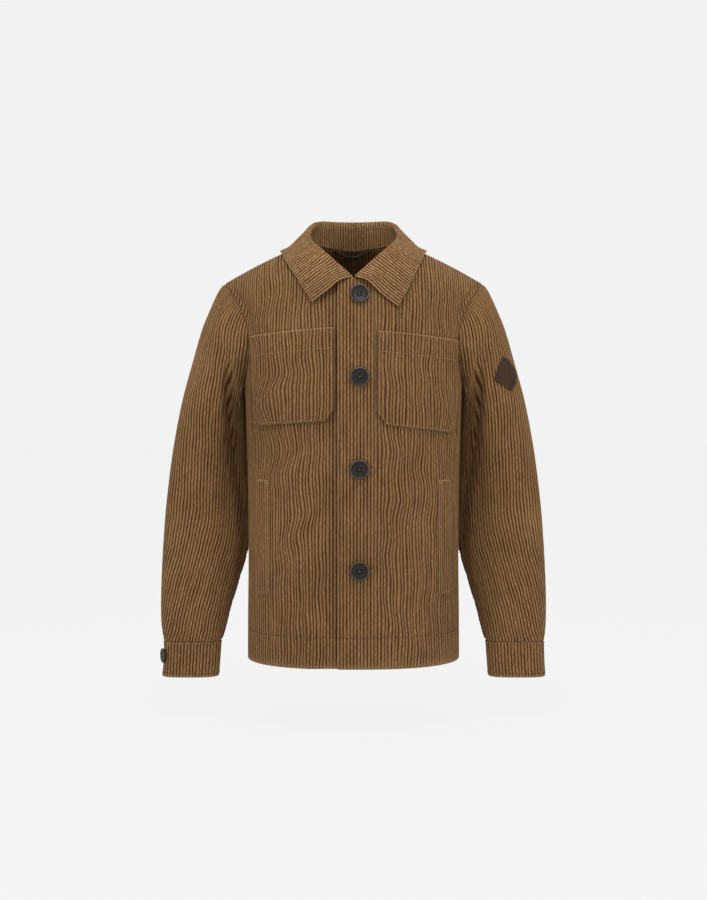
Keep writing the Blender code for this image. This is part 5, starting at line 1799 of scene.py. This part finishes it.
# Pockets and welts with their tacks, the placket's line, and the ends of the buttonholes.
def bodyStitches():
    rows = []
    lift = cloth["laid"] + cloth["wall"]
    for name, sign in sides.items():
        start, end = pocket["start"][name], pocket["start"][name] + pocket["width"]
        inset = stitch["pocketInset"]
        s = np.linspace(start + inset, end - inset, 120)
        low = pocketLow(name)(s) + inset
        side = np.linspace(0, 1, 60)
        mouth = pocketMouth(name, s)
        first, last = mouth[0] - stitch["mouthInset"], mouth[-1] - stitch["mouthInset"]
        down, up = first + (low[0] - first) * side, low[-1] + (last - low[-1]) * side
        path = np.concatenate([s[0] + 0 * down, s, s[-1] + 0 * up]), np.concatenate([down, low, up])
        rows.append(frontRow(sign, *path, lift))
        rows.append(frontRow(sign, s, mouth - stitch["facingDrop"], lift))
        rows += tackRows(sign, start, pocketMouth(name, start), stitch["pocketTack"], lift)
        start, end = welt["edges"]
        low, high = weltEnds((start + end) / 2)
        edges, ends = (start + inset, end - inset), (low + inset, high - inset)
        rows += [frontRow(sign, s, np.linspace(*ends, 80), lift) for s in edges]
        rows += [frontRow(sign, np.linspace(*edges, 12), z, lift) for z in ends]
        rows += tackRows(sign, start, high, stitch["weltTack"], lift)
    rows.append(frontRow(1, stitch["placket"], np.linspace(body["hem"] + 0.003, stitch["placketTop"], 400)))
    for z in button["heights"]:
        rows += tackRows(1, button["x"], z, stitch["buttonholeTack"])
    return stitchObject("stitches_body", rows, brownThread)


# A line beside the leaf's free edge, and one up beside each of its front ends.
def collarStitches():
    rows = []
    for name in sides:
        grid, facing = leafGrid(name)
        steps = np.linalg.norm(np.diff(grid, axis=0), axis=-1)
        toEdge = np.cumsum(np.vstack([np.zeros(grid.shape[1]), steps[::-1]]), axis=0)[::-1]
        inside = (toEdge > stitch["collarInset"]).sum(axis=0) - 1
        last = grid.shape[1] - 1 - round(stitch["collarInset"] / collar["waleLine"] * (grid.shape[1] - 1))
        columns = np.arange(last + 1)
        rows.append(stitchRow(grid[inside[columns], columns], facing[inside[columns], columns]))
        upper = np.arange(stitch["leafStart"], inside[last])
        rows.append(stitchRow(grid[upper, last], facing[upper, last]))
    return stitchObject("stitches_collar", rows, collarThread)


# Lines along both edges of each cuff, and one across beside its upper end.
def cuffStitches():
    rows, lowRows = [], []
    far = cuff["around"] + cuff["under"] - stitch["cuffEnd"]
    turns = np.linspace(stitch["cuffStart"], far, 300)
    high, low = stitch["cuffLines"]
    for name, sign in sides.items():
        for kept, turn, drop in (
            (rows, turns, high + 0 * turns),
            (lowRows, turns, low + 0 * turns),
            (rows, np.full(60, far - 0.5), np.linspace(high, low, 60)),
        ):
            ahead = onCuff(name, turn + 1, drop) - onCuff(name, turn - 1, drop)
            facing = np.cross(ahead, onCuff(name, turn, drop + 0.01) - onCuff(name, turn, drop - 0.01))
            kept.append(stitchRow(onCuff(name, turn, drop), -sign * unit(facing)))
    upper = stitchObject("stitches_cuffs", rows, brownThread)
    return upper, stitchObject("stitches_cuff_ends", lowRows, darkThread)


# One line round the patch, inside its edge.
def patchStitches():
    edge = np.full(60, patch["stitched"])
    side = np.linspace(-1, 1, 60) * edge
    lift = cloth["laid"] + patch["wall"]
    a = np.concatenate([side, edge, -side, -edge, side[:2]])
    b = np.concatenate([-edge, side, edge, -side, -edge[:2]])
    at = patchSurface(a, b)
    facing = unit(np.cross(patchSurface(a + 0.02, b) - at, patchSurface(a, b + 0.02) - at))
    facing = facing * np.sign((facing * (1, -1, 0)).sum(-1, keepdims=True))
    row = stitchRow(at + lift * facing, facing, stitch["patchStep"], stitch["patchLength"])
    return stitchObject("stitches_patch", [row], patchThread)


print("stitches made", hemStitches(), bodyStitches(), collarStitches(), cuffStitches(), patchStitches())

studio = {
    "camera": (0.0, -2.4, -0.244),
    "aim": (0.0, 0.0, -0.3360),
    "lens": 58.9,
    "floor": -0.775,
    "floorHalf": 14,
    "floorWhite": 0.04,     # how much of the light on the floor comes back
    "floorGlow": 0.862,
    "white": 0.891,
    "frontShare": 0.17,     # brightness of the room in front of the jacket, as a share of the wall behind it
    "turns": (-0.35, 0.25),  # between which places from front to back it changes
}
lamps = (
    ("top", (0.0, -1.3, 2.4), (0, 0, -0.25), 1.5, 60),
    ("front", (0.0, -2.8, 0.1), (0, 0, -0.1), 1.0, 4),
    ("left", (-2.6, -2.0, 0.6), (0, 0, -0.35), 1.6, 33),
    ("right", (2.6, -2.0, 0.4), (0, 0, -0.35), 1.6, 34),
)


# A floor that mostly glows by itself, so that it is as pale as the wall and the jacket's shadow on it is
# faint.
def makeFloor():
    white = Finish("floor_white")
    for socket, value in (
        ("Base Color", (studio["floorWhite"],) * 3 + (1,)),
        ("Roughness", 1.0),
        ("Specular IOR Level", 0.0),
        ("Emission Color", (1, 1, 1, 1)),
        ("Emission Strength", studio["floorGlow"]),
    ):
        white.put(white.shader.inputs[socket], value)
    size = studio["floorHalf"]
    corners = [(x * size, y * size, studio["floor"]) for x, y in ((-1, -1), (1, -1), (1, 1), (-1, 1))]
    simpleMesh("floor", corners, [(0, 1, 2, 3)], white.material)


# A wall that looks evenly white on every side but lights the jacket less from the front.
def makeWall():
    world = bpy.data.worlds.new("studio")
    bpy.context.scene.world = world
    world.use_nodes = True
    nodes, links = world.node_tree.nodes, world.node_tree.links
    towards = nodes.new("ShaderNodeTexCoord")
    parts = nodes.new("ShaderNodeSeparateXYZ")
    shade = nodes.new("ShaderNodeMapRange")
    shade.interpolation_type = "SMOOTHSTEP"
    for socket, value in zip(list(shade.inputs)[1:5], (*studio["turns"], studio["frontShare"], 1.0)):
        socket.default_value = value
    seen = nodes.new("ShaderNodeMath")
    seen.operation = "MAXIMUM"
    links.new(towards.outputs["Generated"], parts.inputs[0])
    links.new(parts.outputs[1], shade.inputs[0])
    links.new(shade.outputs[0], seen.inputs[0])
    links.new(nodes.new("ShaderNodeLightPath").outputs["Is Camera Ray"], seen.inputs[1])
    links.new(seen.outputs[0], nodes["Background"].inputs["Strength"])
    nodes["Background"].inputs["Color"].default_value = (studio["white"],) * 3 + (1,)


# Puts a lamp or a camera in place, looking at a point.
def aimed(data, at, aim):
    made = linked(data.name, data)
    made.location = at
    made.rotation_mode = "QUATERNION"
    made.rotation_quaternion = (Vector(aim) - Vector(at)).to_track_quat("-Z", "Y")
    return made


def makeStudio():
    makeFloor()
    makeWall()
    for name, at, aim, size, power in lamps:
        lamp = bpy.data.lights.new(name, "AREA")
        lamp.shape, lamp.size, lamp.energy = "DISK", size, power
        aimed(lamp, at, aim)
    camera = bpy.data.cameras.new("camera")
    camera.lens, camera.sensor_width = studio["lens"], 36
    bpy.context.scene.camera = aimed(camera, studio["camera"], studio["aim"])


makeStudio()
print("studio made")
